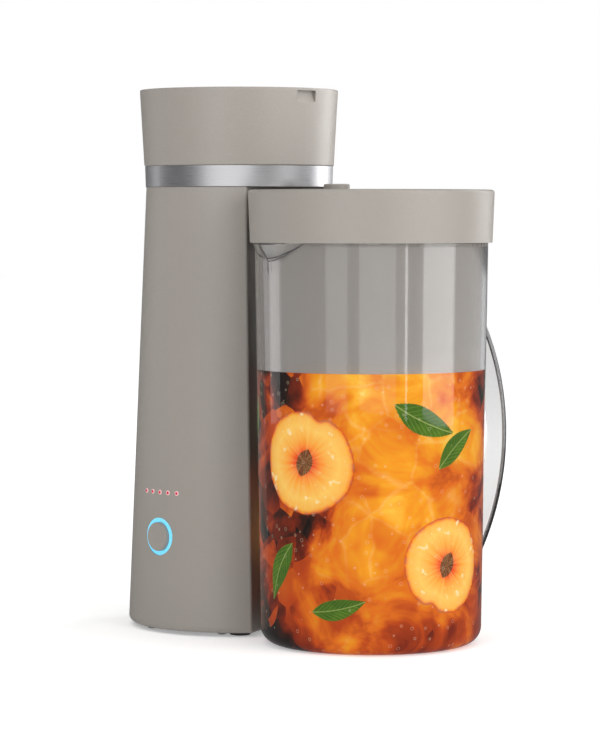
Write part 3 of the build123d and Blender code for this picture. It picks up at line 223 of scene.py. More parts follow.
class Wire:
    """A node's output: arithmetic written on it becomes Math nodes in its tree."""

    def __init__(self, graph, socket):
        self.graph, self.socket = graph, socket

    __add__ = __radd__ = sign("ADD")
    __mul__ = __rmul__ = sign("MULTIPLY")
    __sub__, __rsub__ = sign("SUBTRACT"), sign("SUBTRACT", True)
    __truediv__, __rtruediv__ = sign("DIVIDE"), sign("DIVIDE", True)
    __pow__, __abs__, __floor__ = sign("POWER"), sign("ABSOLUTE"), sign("FLOOR")


class Graph:
    """A node tree with short ways to add to it."""

    def __init__(self, tree):
        self.tree = tree

    def feed(self, socket, value):
        """Links a wire to an input, or sets a plain value on it."""
        if isinstance(value, Wire):
            self.tree.links.new(value.socket, socket)
        else:
            socket.default_value = rgba(value) if socket.type == "RGBA" else value

    def socket(self, label, kind, side="INPUT"):
        """A new input or output of a node group."""
        return self.tree.interface.new_socket(label, in_out=side, socket_type="NodeSocket" + kind)

    def add(self, kind, inputs=None, **settings):
        node = self.tree.nodes.new(kind)
        for key, value in settings.items():
            setattr(node, key, value)
        for key, value in (inputs or {}).items():
            self.feed(node.inputs[key], value)
        return node

    def out(self, kind, inputs=None, pick=0, **settings):
        """Adds a node and returns one of its outputs."""
        return Wire(self, self.add(kind, inputs, **settings).outputs[pick])

    def outs(self, kind, inputs=None, **settings):
        """Adds a node and returns all its outputs by name."""
        node = self.add(kind, inputs, **settings)
        return {socket.name: Wire(self, socket) for socket in node.outputs}

    def math(self, operation, a, b=0.0):
        return self.out("ShaderNodeMath", {0: a, 1: b}, operation=operation)

    def vector(self, operation, a, b=(0.0, 0.0, 0.0), pick=0):
        return self.out("ShaderNodeVectorMath", {0: a, 1: b}, pick, operation=operation)

    def scaled(self, a, factor):
        return self.out("ShaderNodeVectorMath", {0: a, "Scale": factor}, operation="SCALE")

    def split(self, vector):
        return list(self.outs("ShaderNodeSeparateXYZ", {0: vector}).values())

    def joined(self, x, y, z=0.0):
        return self.out("ShaderNodeCombineXYZ", {0: x, 1: y, 2: z})

    def spread(self, value, low, high, to_low=0.0, to_high=1.0, kind="SMOOTHSTEP"):
        return self.out("ShaderNodeMapRange", {0: value, 1: low, 2: high, 3: to_low, 4: to_high},
                        interpolation_type=kind)

    def mix(self, factor, a, b):
        return self.out("ShaderNodeMix", {0: factor, 6: a, 7: b}, 2, data_type="RGBA")

    def ramp(self, factor, stops):
        node = self.add("ShaderNodeValToRGB", {0: factor})
        elements = node.color_ramp.elements
        while len(elements) < len(stops):
            elements.new(1.0)
        for element, (place, _) in zip(elements, stops):
            element.position = place
        for element, (_, tone) in zip(elements, stops):
            element.color = rgba(tone)
        return Wire(self, node.outputs[0])

    def noise(self, place, scale, pick=0, **inputs):
        return self.out("ShaderNodeTexNoise", {"Vector": place, "Scale": scale, **inputs}, pick)

    def cells(self, place, scale, pick="Distance", feature="F1", **inputs):
        return self.out("ShaderNodeTexVoronoi", {"Vector": place, "Scale": scale, **inputs}, pick,
                        feature=feature)

    def bump(self, height, depth, strength=1.0):
        return self.out("ShaderNodeBump", {"Height": height, "Distance": depth,
                                           "Strength": strength})


# the shader's sockets whose names aren't simply the word used here
SHADER_SOCKETS = {
    "base": "Base Color", "index": "IOR", "specular": "Specular IOR Level",
    "transmission": "Transmission Weight", "coat": "Coat Weight", "glow": "Emission Color",
    "glow_strength": "Emission Strength",
}


class Surface(Graph):
    """A material whose shader is being wired."""

    def __init__(self, name, **numbers):
        self.material = bpy.data.materials.new(name)
        self.material.use_nodes = True
        super().__init__(self.material.node_tree)
        self.tree.nodes.clear()
        self.shader = self.add("ShaderNodeBsdfPrincipled")
        self.output = self.add("ShaderNodeOutputMaterial",
                               {"Surface": Wire(self, self.shader.outputs[0])})
        self.put(**numbers)
        self.place = self.out("ShaderNodeTexCoord", pick="Object")

    def put(self, **numbers):
        """Sets or links the shader's sockets."""
        for key, value in numbers.items():
            name = SHADER_SOCKETS.get(key, key.replace("_", " ").title())
            self.feed(self.shader.inputs[name], value)

    def clad(self, pattern, a, b, grain, low, high, depth):
        """Colour from a to b by a pattern; roughness from low to high by a grain of that depth."""
        self.put(base=self.mix(pattern, a, b), normal=self.bump(grain, depth),
                 roughness=self.spread(grain, 0.3, 0.7, low, high, "LINEAR"))
        return self.material


# ---------- finishes
def moulded(name, tint, roughness, grain, depth, mottle=0.03, **numbers):
    """Injection-moulded plastic with a fine eroded grain and a slight cloudiness."""
    s = Surface(name, **numbers)
    fine = s.noise(s.place, 1.0 / grain, Roughness=0.6)
    cloud = s.noise(s.place, 16.0, Detail=3.0)
    return s.clad(fine * 0.5 + cloud * 0.5, shade(tint, 1 - mottle), shade(tint, 1 + mottle),
                  fine, roughness - 0.06, roughness + 0.06, depth)


def brushed(name, tint, roughness, lines=0.00022, run=0.012, depth=0.000006, **numbers):
    """Metal with fine lines that run level round the upright axis."""
    s = Surface(name, metallic=1.0, **numbers)
    stretched = s.out("ShaderNodeMapping", {"Vector": s.place,
                                            "Scale": (1 / run, 1 / run, 1 / lines)})
    hair = s.noise(stretched, 1.0, Detail=4.0, Roughness=0.65)
    return s.clad(s.spread(hair, 0.3, 0.7), shade(tint, 0.86), tint,
                  hair, roughness - 0.08, roughness + 0.1, depth)


def cast(name, tint, roughness, grain=0.0012, depth=0.00012):
    """As-cast metal: a dull, pitted skin."""
    s = Surface(name, metallic=1.0)
    pits = s.noise(s.place, 1.0 / grain, Detail=5.0, Roughness=0.7)
    return s.clad(pits, shade(tint, 0.7), tint, pits, roughness + 0.12, roughness - 0.08, depth)


def clear(name, pitcher, smoke, roughness=0.02):
    """Polished clear plastic, slightly smoky through its depth, with a mould's faint waviness."""
    s = Surface(name, base=pitcher.clear, transmission=1.0, index=pitcher.clear_index,
                specular=0.3)
    depth = s.out("ShaderNodeVolumeAbsorption", {"Color": (0.35, 0.34, 0.35), "Density": smoke})
    s.feed(s.output.inputs["Volume"], depth)
    flow = s.noise(s.place, 22.0, Detail=1.0)
    scuff = s.noise(s.place, 900.0, Detail=3.0, Roughness=0.7)
    s.put(roughness=s.spread(scuff, 0.45, 0.8, roughness, roughness + 0.04, "LINEAR"),
          normal=s.bump(flow, 0.0002, strength=0.35))
    return s.material


def frosted(name, tint, transmission, roughness, index=1.5):
    """Translucent plastic or silicone with a frosted skin."""
    s = Surface(name, transmission=transmission, index=index)
    return s.clad(s.noise(s.place, 30.0), shade(tint, 0.95), tint,
                  s.noise(s.place, 700.0, Detail=3.0), roughness - 0.06, roughness + 0.06, 0.00003)


def rubber(name, tint):
    """Dull rubber with a little dust in its grain."""
    s = Surface(name, specular=0.35)
    dust = s.noise(s.place, 60.0, Detail=4.0)
    return s.clad(s.spread(dust, 0.45, 0.8), tint, shade(tint, 1.9),
                  s.noise(s.place, 1300.0, Detail=3.0, Roughness=0.7), 0.62, 0.82, 0.00005)


def circuit_board(name):
    """Green solder mask over copper tracks."""
    s = Surface(name)
    x, _, z = s.split(s.place)
    flat = s.joined(x, z)
    tracks = s.out("ShaderNodeTexBrick", {"Vector": flat, "Scale": 170.0, "Mortar Size": 0.03,
                                          "Mortar Smooth": 0.1, "Bias": -0.2}, "Fac")
    pad = s.spread(s.cells(flat, 240.0), 0.16, 0.12)
    mask = s.mix(tracks, (0.012, 0.11, 0.04), (0.03, 0.2, 0.07))
    s.put(base=s.mix(pad, mask, (0.62, 0.6, 0.55)), metallic=pad * 0.9,
          roughness=s.spread(pad, 0.0, 1.0, 0.28, 0.4, "LINEAR"),
          normal=s.bump(tracks + pad, 0.00006))
    return s.material


def lit(name, tint, glow, power, roughness=0.25):
    """A light guide or lens that shines evenly, with a slightly uneven skin."""
    s = Surface(name, glow=glow, glow_strength=power)
    skin = s.noise(s.place, 500.0)
    return s.clad(skin, shade(tint, 0.9), tint, skin, roughness - 0.05, roughness + 0.05, 0.00002)


def make_finishes(housing, pitcher):
    """One material for each slot of the record but the printed one."""
    return {
        "taupe_plastic": moulded("satin_taupe", housing.tint, housing.roughness,
                                 housing.grain, housing.grain_depth),
        "dark_plastic": moulded("matt_black_plastic", (0.022, 0.021, 0.02), 0.5, 0.0007, 0.00004,
                                0.15),
        "white_plastic": moulded("satin_white_plastic", (0.72, 0.71, 0.67), 0.36, 0.0009, 0.00002),
        "warm_grey_plastic": moulded("smooth_warm_grey", pitcher.liner, 0.22, 0.0015,
                                     0.00001, coat=0.2, coat_roughness=0.1),
        "frosted_plastic": frosted("frosted_tank_plastic", (0.86, 0.89, 0.9), 0.85, 0.35),
        "clear_plastic": clear("clear_wall_plastic", pitcher, pitcher.smoke),
        "silver_trim": brushed("brushed_silver_trim", (0.64, 0.64, 0.66), 0.34, anisotropic=0.5),
        "steel": brushed("drawn_steel", (0.6, 0.6, 0.61), 0.28, 0.0004, 0.004, 0.000008),
        "cast_aluminium": cast("cast_aluminium", (0.66, 0.66, 0.665), 0.45),
        "grey_rubber": rubber("dark_grey_rubber", (0.035, 0.035, 0.036)),
        "silicone": frosted("milky_silicone", (0.8, 0.8, 0.77), 0.35, 0.45, 1.41),
        "fine_mesh": brushed("woven_steel_wire", (0.62, 0.62, 0.63), 0.3, 0.0003, 0.002, 0.000004),
        "board": circuit_board("solder_mask"),
        "red_light": lit("red_lamp", (0.3, 0.01, 0.03), (0.62, 0.008, 0.04), 0.55),
        "cyan_light": lit("sky_blue_guide", (0.1, 0.34, 0.46), (0.16, 0.6, 0.88), 0.85),
    }


# ---------- plain meshes
def drop_scraps(mesh, fewest=10):
    """Removes what a cut leaves behind: points in one place and islands of only a few faces."""
    work = bmesh.new()
    work.from_mesh(mesh)
    bmesh.ops.remove_doubles(work, verts=work.verts, dist=1e-7)
    bmesh.ops.dissolve_degenerate(work, dist=1e-7, edges=work.edges)
    left = set(work.faces)
    while left:
        island, edge = set(), [left.pop()]
        while edge:
            face = edge.pop()
            island.add(face)
            for corner in face.verts:
                beside = left.intersection(corner.link_faces)
                left -= beside
                edge.extend(beside)
        if len(island) < fewest:
            bmesh.ops.delete(work, geom=list(island), context="FACES")
    work.to_mesh(mesh)
    work.free()


def piece(name, data):
    made = bpy.data.objects.new(name, data)
    bpy.context.scene.collection.objects.link(made)
    return made


def mesh_of(name, corners, faces):
    mesh = bpy.data.meshes.new(name)
    mesh.from_pydata(corners, [], faces)
    mesh.validate()
    return mesh


def cords(name, paths, radius, sides=10):
    """Fine round cords along lists of points, drawn to a point at both ends."""
    corners, faces = [], []
    for path in paths:
        first = len(corners)
        last = len(path) - 1
        for i, here in enumerate(path):
            ahead = (path[min(i + 1, last)] - path[max(i - 1, 0)]).normalized()
            side = ahead.cross(Vector((0.6, 0.8, 0.0))).normalized()
            over = ahead.cross(side)
            thin = radius * min(1.0, 0.25 + 6.0 * min(i, last - i) / last)
            for k in range(sides):
                turn = math.tau * k / sides
                corners.append(here + (side * math.cos(turn) + over * math.sin(turn)) * thin)
        for i in range(last):
            low, high = first + i * sides, first + (i + 1) * sides
            for k in range(sides):
                after = (k + 1) % sides
                faces.append((low + k, low + after, high + after, high + k))
        faces += [range(first, first + sides)[::-1], range(high, high + sides)]
    return mesh_of(name, [tuple(c) for c in corners], faces)


def settle(made, body, material, replaced=(), crisp=35.0):
    """Finishes a piece: smooth shading with edges over crisp degrees kept, material, body, slot
    and the CAD nodes that it stands for."""
    mesh = made.data
    mesh.polygons.foreach_set("use_smooth", [True] * len(mesh.polygons))
    mesh.set_sharp_from_angle(angle=math.radians(crisp))
    mesh.materials.clear()
    mesh.materials.append(material)
    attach(made, body)
    if replaced:
        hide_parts(*replaced)


# ---------- Geometry Nodes
def sizes_of(group, **more):
    """A group's sizes and these more, under the labels that a recipe's inputs have."""
    sizes = {key: getattr(group, key) for key in type(group).__annotations__}
    return {key.replace("_", " ").title(): value for key, value in {**sizes, **more}.items()}


class Recipe(Graph):
    """A geometry tree with named inputs; given holds their wires in the order of the sizes."""

    def __init__(self, name, sizes, places=False):
        super().__init__(bpy.data.node_groups.new(name, "GeometryNodeTree"))
        self.socket("Geometry", "Geometry", "OUTPUT")
        if places:
            self.socket("Places", "Geometry")
        self.sizes = {}
        for label, value in sizes.items():
            socket = self.socket(label, "Int" if isinstance(value, int) else "Float")
            socket.default_value = value
            self.sizes[socket.identifier] = value
        outs = self.outs("NodeGroupInput")
        self.places = outs.get("Places")
        self.given = [outs[label] for label in sizes]

    def turned(self, outline, sides=24):
        """A closed round form about +Z from (radius, height) pairs, bottom to top."""
        bands = []
        for (low_r, low_z), (high_r, high_z) in zip(outline, outline[1:]):
            band = self.out("GeometryNodeMeshCone", {
                "Vertices": sides, "Radius Top": high_r, "Radius Bottom": low_r,
                "Depth": high_z - low_z}, "Mesh", fill_type="NONE")
            bands.append(self.moved(band, self.joined(0.0, 0.0, low_z)))
        return self.out("GeometryNodeMergeByDistance",
                        {"Geometry": self.together(bands), "Distance": 1e-7})

    def moved(self, geometry, lift=(0.0, 0.0, 0.0), **inputs):
        return self.out("GeometryNodeTransform", {"Geometry": geometry, "Translation": lift,
                                                  **inputs})

    def together(self, parts):
        node = self.add("GeometryNodeJoinGeometry")
        for part in reversed(parts):
            self.feed(node.inputs[0], part)
        return Wire(self, node.outputs[0])

    def rows(self, number, position):
        """Points of that number whose place is worked out from their index."""
        return self.out("GeometryNodePoints", {"Count": number, "Position": position,
                                               "Radius": 0.001})

    def index(self):
        return self.out("GeometryNodeInputIndex")

    def instances(self, points, shape, **inputs):
        return self.out("GeometryNodeInstanceOnPoints", {"Points": points, "Instance": shape,
                                                         **inputs})

    def realized(self, geometry):
        return self.out("GeometryNodeRealizeInstances", {"Geometry": geometry})

    def line(self, start, end):
        return self.out("GeometryNodeCurvePrimitiveLine", {"Start": start, "End": end})

    def hoop(self, radius, sides=96):
        return self.out("GeometryNodeCurvePrimitiveCircle",
                        {"Resolution": sides, "Radius": radius}, "Curve")

    def swept(self, curve, radius):
        """A three-sided wire along a curve."""
        return self.out("GeometryNodeCurveToMesh", {
            "Curve": curve, "Profile Curve": self.hoop(radius, 3), "Fill Caps": True})

    def made(self, name, geometry, material, places=()):
        """Ends the tree, runs it on points at those places and returns the plain mesh's object."""
        coated = self.out("GeometryNodeSetMaterial", {"Geometry": self.realized(geometry),
                                                      "Material": material})
        self.add("NodeGroupOutput", {"Geometry": coated})
        made = piece(name, mesh_of(name + "_places", [tuple(p) for p in places], []))
        modifier = made.modifiers.new("recipe", "NODES")
        modifier.node_group = self.tree
        for identifier, value in self.sizes.items():
            modifier[identifier] = value
        graph = bpy.context.evaluated_depsgraph_get()
        mesh = bpy.data.meshes.new_from_object(made.evaluated_get(graph))
        made.modifiers.clear()
        made.data = mesh
        mesh.name = name
        if not mesh.polygons:
            raise RuntimeError(f"{name} came out empty")
        return made


# ---------- printed wrap
PITCHER_FOOT_RADIUS = 0.0637
PITCHER_SLOPE = 0.0039 / 0.2555
PITCHER_WALL = 0.0023
PITCHER_FLOOR = 0.003
INNER_CORNER = 0.0077
WRAP_SEGMENTS = 192
SEAM_ANGLE = math.radians(75.0)
FRONT_ANGLE = math.radians(-43.5)

# place along the film from its front middle, height, radius, turn: all in metres and degrees
PEACHES = [
    (-0.041, 0.108, 0.031, 20.0), (0.046, 0.05, 0.029, 205.0), (-0.156, 0.06, 0.03, 130.0),
    (0.118, 0.115, 0.028, 320.0), (-0.19, 0.112, 0.031, 60.0), (-0.225, 0.045, 0.027, 250.0),
]
# place along the film, height, half length, turn, bend
LEAVES = [
    (0.03, 0.131, 0.022, 24.0, 0.1), (0.052, 0.117, 0.018, -38.0, -0.12),
    (-0.062, 0.046, 0.02, 118.0, 0.12), (-0.02, 0.026, 0.017, -12.0, 0.1),
    (-0.152, 0.12, 0.021, 70.0, 0.1), (0.108, 0.04, 0.02, 150.0, -0.1),
    (-0.205, 0.08, 0.018, 15.0, 0.12), (-0.096, 0.128, 0.017, -60.0, 0.1),
]
# painted shade on the print's sides, left and right of its front middle: middle along the film, half
# width of the dark, reach of its edge, depth
PAINTED_SHADES = [(-0.125, 0.052, 0.112, -0.62), (0.1, 0.02, 0.08, -0.23)]


def wall_radius(z):
    """Outer radius of the pitcher's clear wall at that height."""
    return PITCHER_FOOT_RADIUS + PITCHER_SLOPE * z


def round_pitcher(radius, turn, z):
    return (PITCHER_AXIS.x + radius * math.cos(turn), PITCHER_AXIS.y + radius * math.sin(turn), z)


def film_profile(wrap, inset):
    """One face of the film, from the top down and in over the floor."""
    corner = INNER_CORNER - inset
    middle_z = PITCHER_FLOOR + INNER_CORNER
    middle_r = wall_radius(middle_z) - PITCHER_WALL - inset - corner
    heights = [wrap.top - (wrap.top - middle_z) * i / 12 for i in range(13)]
    points = [(wall_radius(z) - PITCHER_WALL - inset, z) for z in heights]
    for i in range(1, 11):
        turn = math.pi / 2 * i / 10
        points.append((middle_r + corner * math.cos(turn), middle_z - corner * math.sin(turn)))
    return points + [(middle_r - wrap.foot_reach, PITCHER_FLOOR + inset)]


def film_mesh(wrap):
    """The film as a closed thin shell, with a UV map in metres along it and up it."""
    outer = film_profile(wrap, -wrap.bond)
    loop = outer + film_profile(wrap, wrap.thickness - wrap.bond)[::-1]
    heights = [wrap.top]
    for a, b in zip(outer, outer[1:]):
        heights.append(heights[-1] - math.dist(a, b))
    heights += heights[::-1]
    n = len(loop)
    corners, faces = [], []
    for k in range(WRAP_SEGMENTS):
        turn = SEAM_ANGLE + math.tau * k / WRAP_SEGMENTS
        corners += [round_pitcher(r, turn, z) for r, z in loop]
        a, b = k * n, (k + 1) % WRAP_SEGMENTS * n
        for i in range(n):
            j = (i + 1) % n
            faces.append((a + j, b + j, b + i, a + i))
    mesh = mesh_of("printed_wrap", corners, faces)
    film = mesh.uv_layers.new(name="film")
    start = (SEAM_ANGLE - FRONT_ANGLE - math.tau) * PITCHER_FOOT_RADIUS
    step = math.tau / WRAP_SEGMENTS * PITCHER_FOOT_RADIUS
    for face in mesh.polygons:
        k, i = divmod(face.index, n)
        j = (i + 1) % n
        for corner, (segment, row) in zip(face.loop_indices,
                                          ((k, j), (k + 1, j), (k + 1, i), (k, i))):
            film.data[corner].uv = (start + segment * step, heights[row])
    return mesh


def motif_group(name, *more):
    """A shader group with the inputs of a motif and these more, and its place within the motif:
    from its centre, turned, in units of its size."""
    g = Graph(bpy.data.node_groups.new(name, "ShaderNodeTree"))
    g.socket("Place", "Vector")
    g.socket("Centre", "Vector")
    for label in ("Size", "Turn", *more):
        g.socket(label, "Float")
    g.socket("Colour", "Color", "OUTPUT")
    g.socket("Mask", "Float", "OUTPUT")
    given = g.outs("NodeGroupInput")
    shift = g.vector("SUBTRACT", given["Place"], given["Centre"])
    turned = g.out("ShaderNodeVectorRotate", {"Vector": shift, "Angle": given["Turn"]},
                   rotation_type="Z_AXIS")
    return g, given, g.scaled(turned, 1.0 / given["Size"])


def peach_group():
    """Half a peach seen on its cut face: skin, flesh, red hollow and wrinkled stone."""
    g, _, place = motif_group("peach_half")
    x, y, _ = g.split(place)
    wobble = g.noise(place, 2.2, Detail=1.0)
    cleft = g.spread(abs(x), 0.0, 0.22, 0.1, 0.0) * g.spread(y, 0.2, 1.0)
    reach = g.vector("LENGTH", g.joined(x, y * 1.06), pick="Value")
    reach = reach + (wobble - 0.5) * 0.09 + cleft
    spoke = g.math("ARCTAN2", y, x)
    fibres = g.noise(g.joined(spoke * 7.0, reach * 1.6), 1.0, Detail=3.0)
    flesh = g.ramp(reach + (fibres - 0.5) * 0.13, [
        (0.0, (0.9, 0.1, 0.02)), (0.2, (0.86, 0.09, 0.02)), (0.33, (0.98, 0.3, 0.04)),
        (0.45, (0.94, 0.44, 0.06)), (0.7, (0.96, 0.6, 0.13)), (0.88, (0.95, 0.5, 0.08)),
        (0.93, (0.95, 0.34, 0.03)), (0.965, (0.62, 0.06, 0.012)), (1.0, (0.32, 0.02, 0.008))])
    wrinkle = g.cells(place, 13.0, feature="DISTANCE_TO_EDGE")
    stone_edge = (1.0 - (abs(y) * 3.6) ** 2.4) * 0.18
    stone = g.mix(g.spread(wrinkle, 0.12, 0.0), (0.2, 0.055, 0.02), (0.035, 0.01, 0.005))
    flesh = g.mix(g.spread(stone_edge - abs(x), -0.01, 0.03), flesh, stone)
    flesh = g.mix(g.spread(fibres, 0.35, 0.75, 0.0, 0.22), flesh, (1.0, 0.76, 0.3))
    sheen = g.noise(place, 4.5, Detail=3.0)
    flesh = g.mix(g.spread(sheen, 0.6, 0.72) * g.spread(reach, 0.3, 0.5), flesh,
                  (1.0, 0.84, 0.5))
    g.add("NodeGroupOutput", {"Colour": flesh, "Mask": g.spread(reach, 1.0, 0.965)})
    return g.tree


def leaf_group():
    """A pointed leaf with a saw edge, a midrib and side veins."""
    g, given, place = motif_group("tea_leaf", "Bend")
    x, y, _ = g.split(place)
    square = x * x
    across = abs(y - given["Bend"] * square)
    width = (1.0 - square) * 0.36 * (1.0 - x * 0.28)
    saw = g.math("PINGPONG", x, 0.045) * 0.5
    veins = g.math("SINE", (across * 1.5 - x) * 34.0)
    green = g.mix(g.noise(place, 3.0, Detail=3.0), (0.012, 0.055, 0.006), (0.13, 0.28, 0.02))
    green = g.mix(g.spread(veins, 0.75, 1.0, 0.0, 0.6), green, (0.22, 0.36, 0.06))
    green = g.mix(g.spread(across, 0.022, 0.006), green, (0.36, 0.46, 0.12))
    green = g.mix(g.spread(y, -0.3, 0.3, 0.0, 0.35), green, (0.02, 0.08, 0.01))
    inside = g.spread(width - saw - across, 0.0, 0.02)
    g.add("NodeGroupOutput", {"Colour": green,
                              "Mask": inside * g.math("LESS_THAN", square, 1.0)})
    return g.tree


def wrap_material(wrap):
    """Printed film: ice, peach halves, tea leaves and bubbles in amber tea, with painted shade on
    its sides and foot and a painted glow of its own colour.
    """
    s = Surface("printed_film", roughness=0.4, specular=0.1)
    film = s.out("ShaderNodeUVMap", uv_map="film")
    drift = s.noise(film, 34.0, pick=1)
    swirl = s.scaled(s.vector("SUBTRACT", drift, (0.5, 0.5, 0.5)), 0.016)
    warped = s.vector("ADD", film, swirl)
    x, y, _ = s.split(film)
    ice = 1.0 / wrap.facet
    edges = s.cells(warped, ice, feature="DISTANCE_TO_EDGE")
    cubes = s.cells(warped, ice, "Color", "SMOOTH_F1", Smoothness=0.35)
    facets = s.cells(s.scaled(warped, 1.7), ice, "Color", "SMOOTH_F1", Smoothness=0.5)
    flow = s.noise(film, 26.0, Detail=4.0, Roughness=0.6, Distortion=0.8)
    level = wrap.brightness
    for pattern, weight in ((flow, 1.1), (s.noise(film, 9.0), 0.8), (s.split(cubes)[0], 0.2),
                            (s.split(facets)[1], 0.16)):
        level = (pattern - 0.5) * weight + level
    # painted shade: darkens the print towards its left and right sides
    for middle, inside, outside, depth in PAINTED_SHADES:
        level = level + s.spread(abs(x - middle), inside, outside, depth, 0.0)
    blocks = s.split(s.cells(s.vector("ADD", film, s.scaled(swirl, 0.6)), 1.6 / wrap.facet,
                             "Color", Randomness=0.8))[0]
    level = (blocks - 0.42) * s.spread(level, 0.5, 0.22) * 0.55 + level
    # painted shade: darker towards the bottom, where the film turns in under the pitcher's floor
    level = level + s.spread(y, 0.0, 0.04, -0.16, 0.0)
    tea = s.ramp(level, [
        (0.0, (0.008, 0.003, 0.002)), (0.14, (0.04, 0.008, 0.003)), (0.3, (0.22, 0.022, 0.005)),
        (0.44, (0.5, 0.065, 0.007)), (0.58, (0.74, 0.18, 0.01)), (0.76, (0.9, 0.37, 0.016)),
        (0.92, (1.0, 0.56, 0.06)), (1.0, (1.0, 0.76, 0.24))])
    rim = s.spread(edges, 0.05, 0.0) * s.spread(level, 0.55, 0.8)
    tea = s.mix(rim * 0.2, tea, (1.0, 0.7, 0.28))
    jitter = s.vector("ADD", film, s.scaled(swirl, 0.12))
    for group, rows in ((peach_group(), PEACHES), (leaf_group(), LEAVES)):
        for along, height, size, turn, *bend in rows:
            given = {"Place": jitter, "Centre": (along, height, 0.0), "Size": size,
                     "Turn": math.radians(turn)}
            if bend:
                given["Bend"] = bend[0]
            motif = s.outs("ShaderNodeGroup", given, node_tree=group)
            tea = s.mix(motif["Mask"], tea, motif["Colour"])
    drops = s.outs("ShaderNodeTexVoronoi", {"Vector": film, "Scale": 1.0 / wrap.bubble})
    chosen = s.spread(s.split(drops["Color"])[2], 0.7, 0.74)
    around = drops["Distance"]
    ring = s.spread(around, 0.13, 0.17) * s.spread(around, 0.23, 0.19)
    tea = s.mix(ring * chosen * 0.2, tea, (1.0, 0.86, 0.55))
    # painted light: the film glows in its own colour by the wrap's Glow
    s.put(base=tea, glow=tea, glow_strength=wrap.glow, normal=s.bump(flow, 0.00002))
    return s.material


# ---------- operators
class TEAMAKER_OT_finishes(Operator):
    """Give every CAD piece the finish of its slot"""
    bl_idname = "teamaker.finishes"
    bl_label = "Finish the Housing and Fittings"

    def execute(self, context):
        pitcher = context.scene.tea_maker_pitcher
        finishes = make_finishes(context.scene.tea_maker_housing, pitcher)
        for row in frame["record"]["subparts"]:
            finish = finishes.get(row["material_slot"])
            if finish is None:
                continue
            node = frame["nodes"][row["node"]]
            if not node.material_slots:
                raise RuntimeError(f"{node.name} has no material slot")
            for material_slot in node.material_slots:
                material_slot.material = finish
        handle = frame["nodes"]["pitcher_handle"]
        handle.material_slots[0].material = clear("clear_handle_plastic", pitcher,
                                                  pitcher.handle_smoke)
        return {"FINISHED"}


class TEAMAKER_OT_wrap(Operator):
    """Make the printed film between the pitcher's walls"""
    bl_idname = "teamaker.wrap"
    bl_label = "Make the Printed Wrap"

    def execute(self, context):
        wrap = context.scene.tea_maker_wrap
        made = piece("printed_wrap", film_mesh(wrap))
        settle(made, "pitcher", wrap_material(wrap), ["pitcher_wrap"], 50.0)
        return {"FINISHED"}


class TEAMAKER_OT_crease(Operator):
    """Draw fine dark lines of painted shade along the crease at the foot of the pitcher's spout"""
    bl_idname = "teamaker.crease"
    bl_label = "Make the Spout Crease"

    def execute(self, context):
        crease = context.scene.tea_maker_crease
        rise = crease.top - crease.low
        steps = [i / 20 for i in range(21)]
        lines = [[(0.0, crease.low - crease.tail * (1.0 - t)) for t in steps]]
        for lift in (0.0, crease.apart):
            start = crease.low + lift
            short = [(crease.narrow * t, start + (rise - lift) * t) for t in steps]
            long = [(crease.wide * t, start + (rise - lift) * t ** 1.7) for t in steps]
            lines.append(short[:0:-1] + long)
        paths = [[Vector(round_pitcher(wall_radius(z), crease.turn + away, z)) for away, z in line]
                 for line in lines]
        made = piece("spout_crease", cords("spout_crease", paths, crease.cord))
        # painted shade: opaque dark grey lines, with a short tail under the point, stand for the
        # darkness along the clear spout's crease
        s = Surface("creased_clear_plastic", index=1.49)
        skin = s.noise(s.place, 500.0)
        s.clad(skin, (0.1, 0.095, 0.095), (0.14, 0.135, 0.135), skin, 0.2, 0.3, 0.00001)
        settle(made, "pitcher", s.material, crisp=60.0)
        return {"FINISHED"}


class TEAMAKER_OT_filter(Operator):
    """Weave the wire cup that stands in the brew basket"""
    bl_idname = "teamaker.filter"
    bl_label = "Weave the Filter"

    def execute(self, context):
        weave = context.scene.tea_maker_filter
        low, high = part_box("mesh_filter")
        r = Recipe("woven_cup", sizes_of(weave, radius=(high.x - low.x) / 2,
                                         height=high.z - low.z))
        pitch, wire, rim, taper, radius, height = r.given
        upper, lower = radius - wire, radius - taper - wire
        index = r.index()
        number = math.floor(upper * math.tau / pitch)
        stake = r.swept(r.line(r.joined(lower, 0.0, wire), r.joined(upper, 0.0, height)), wire)
        stakes = r.instances(r.rows(number, (0.0, 0.0, 0.0)), stake,
                             Rotation=r.joined(0.0, 0.0, index * math.tau / number))
        rise = index * pitch + wire
        round_at = rise / height * (upper - lower) + lower
        hoops = r.instances(r.rows(math.floor(height / pitch), r.joined(0.0, 0.0, rise)),
                            r.hoop(1.0), Scale=r.joined(round_at, round_at, 1.0))
        number = math.floor(lower * 2.0 / pitch)
        offset = (index - (number - 1.0) * 0.5) * pitch
        half = r.math("SQRT", lower * lower - offset * offset)
        bars = r.instances(r.rows(number, r.joined(0.0, offset, wire)),
                           r.line((-1.0, 0.0, 0.0), (1.0, 0.0, 0.0)),
                           Scale=r.joined(half, 1.0, 1.0))
        bars = r.swept(r.realized(bars), wire)
        crossing = r.moved(bars, Rotation=(0.0, 0.0, math.pi / 2))
        section = r.out("GeometryNodeCurvePrimitiveQuadrilateral", {"Width": rim, "Height": rim})
        edge = r.out("GeometryNodeCurveToMesh", {"Curve": r.hoop(upper - rim * 0.5),
                                                 "Profile Curve": section})
        edge = r.moved(edge, r.joined(0.0, 0.0, height - rim * 0.5))
        cup = r.together([r.realized(stakes), r.swept(r.realized(hoops), wire), bars, crossing,
                          edge])
        centre = ((low.x + high.x) / 2, (low.y + high.y) / 2, low.z)
        finish = bpy.data.materials["woven_steel_wire"]
        made = r.made("woven_filter_cup", r.moved(cup, centre), finish)
        settle(made, "tower", finish, ["mesh_filter"], 60.0)
        return {"FINISHED"}


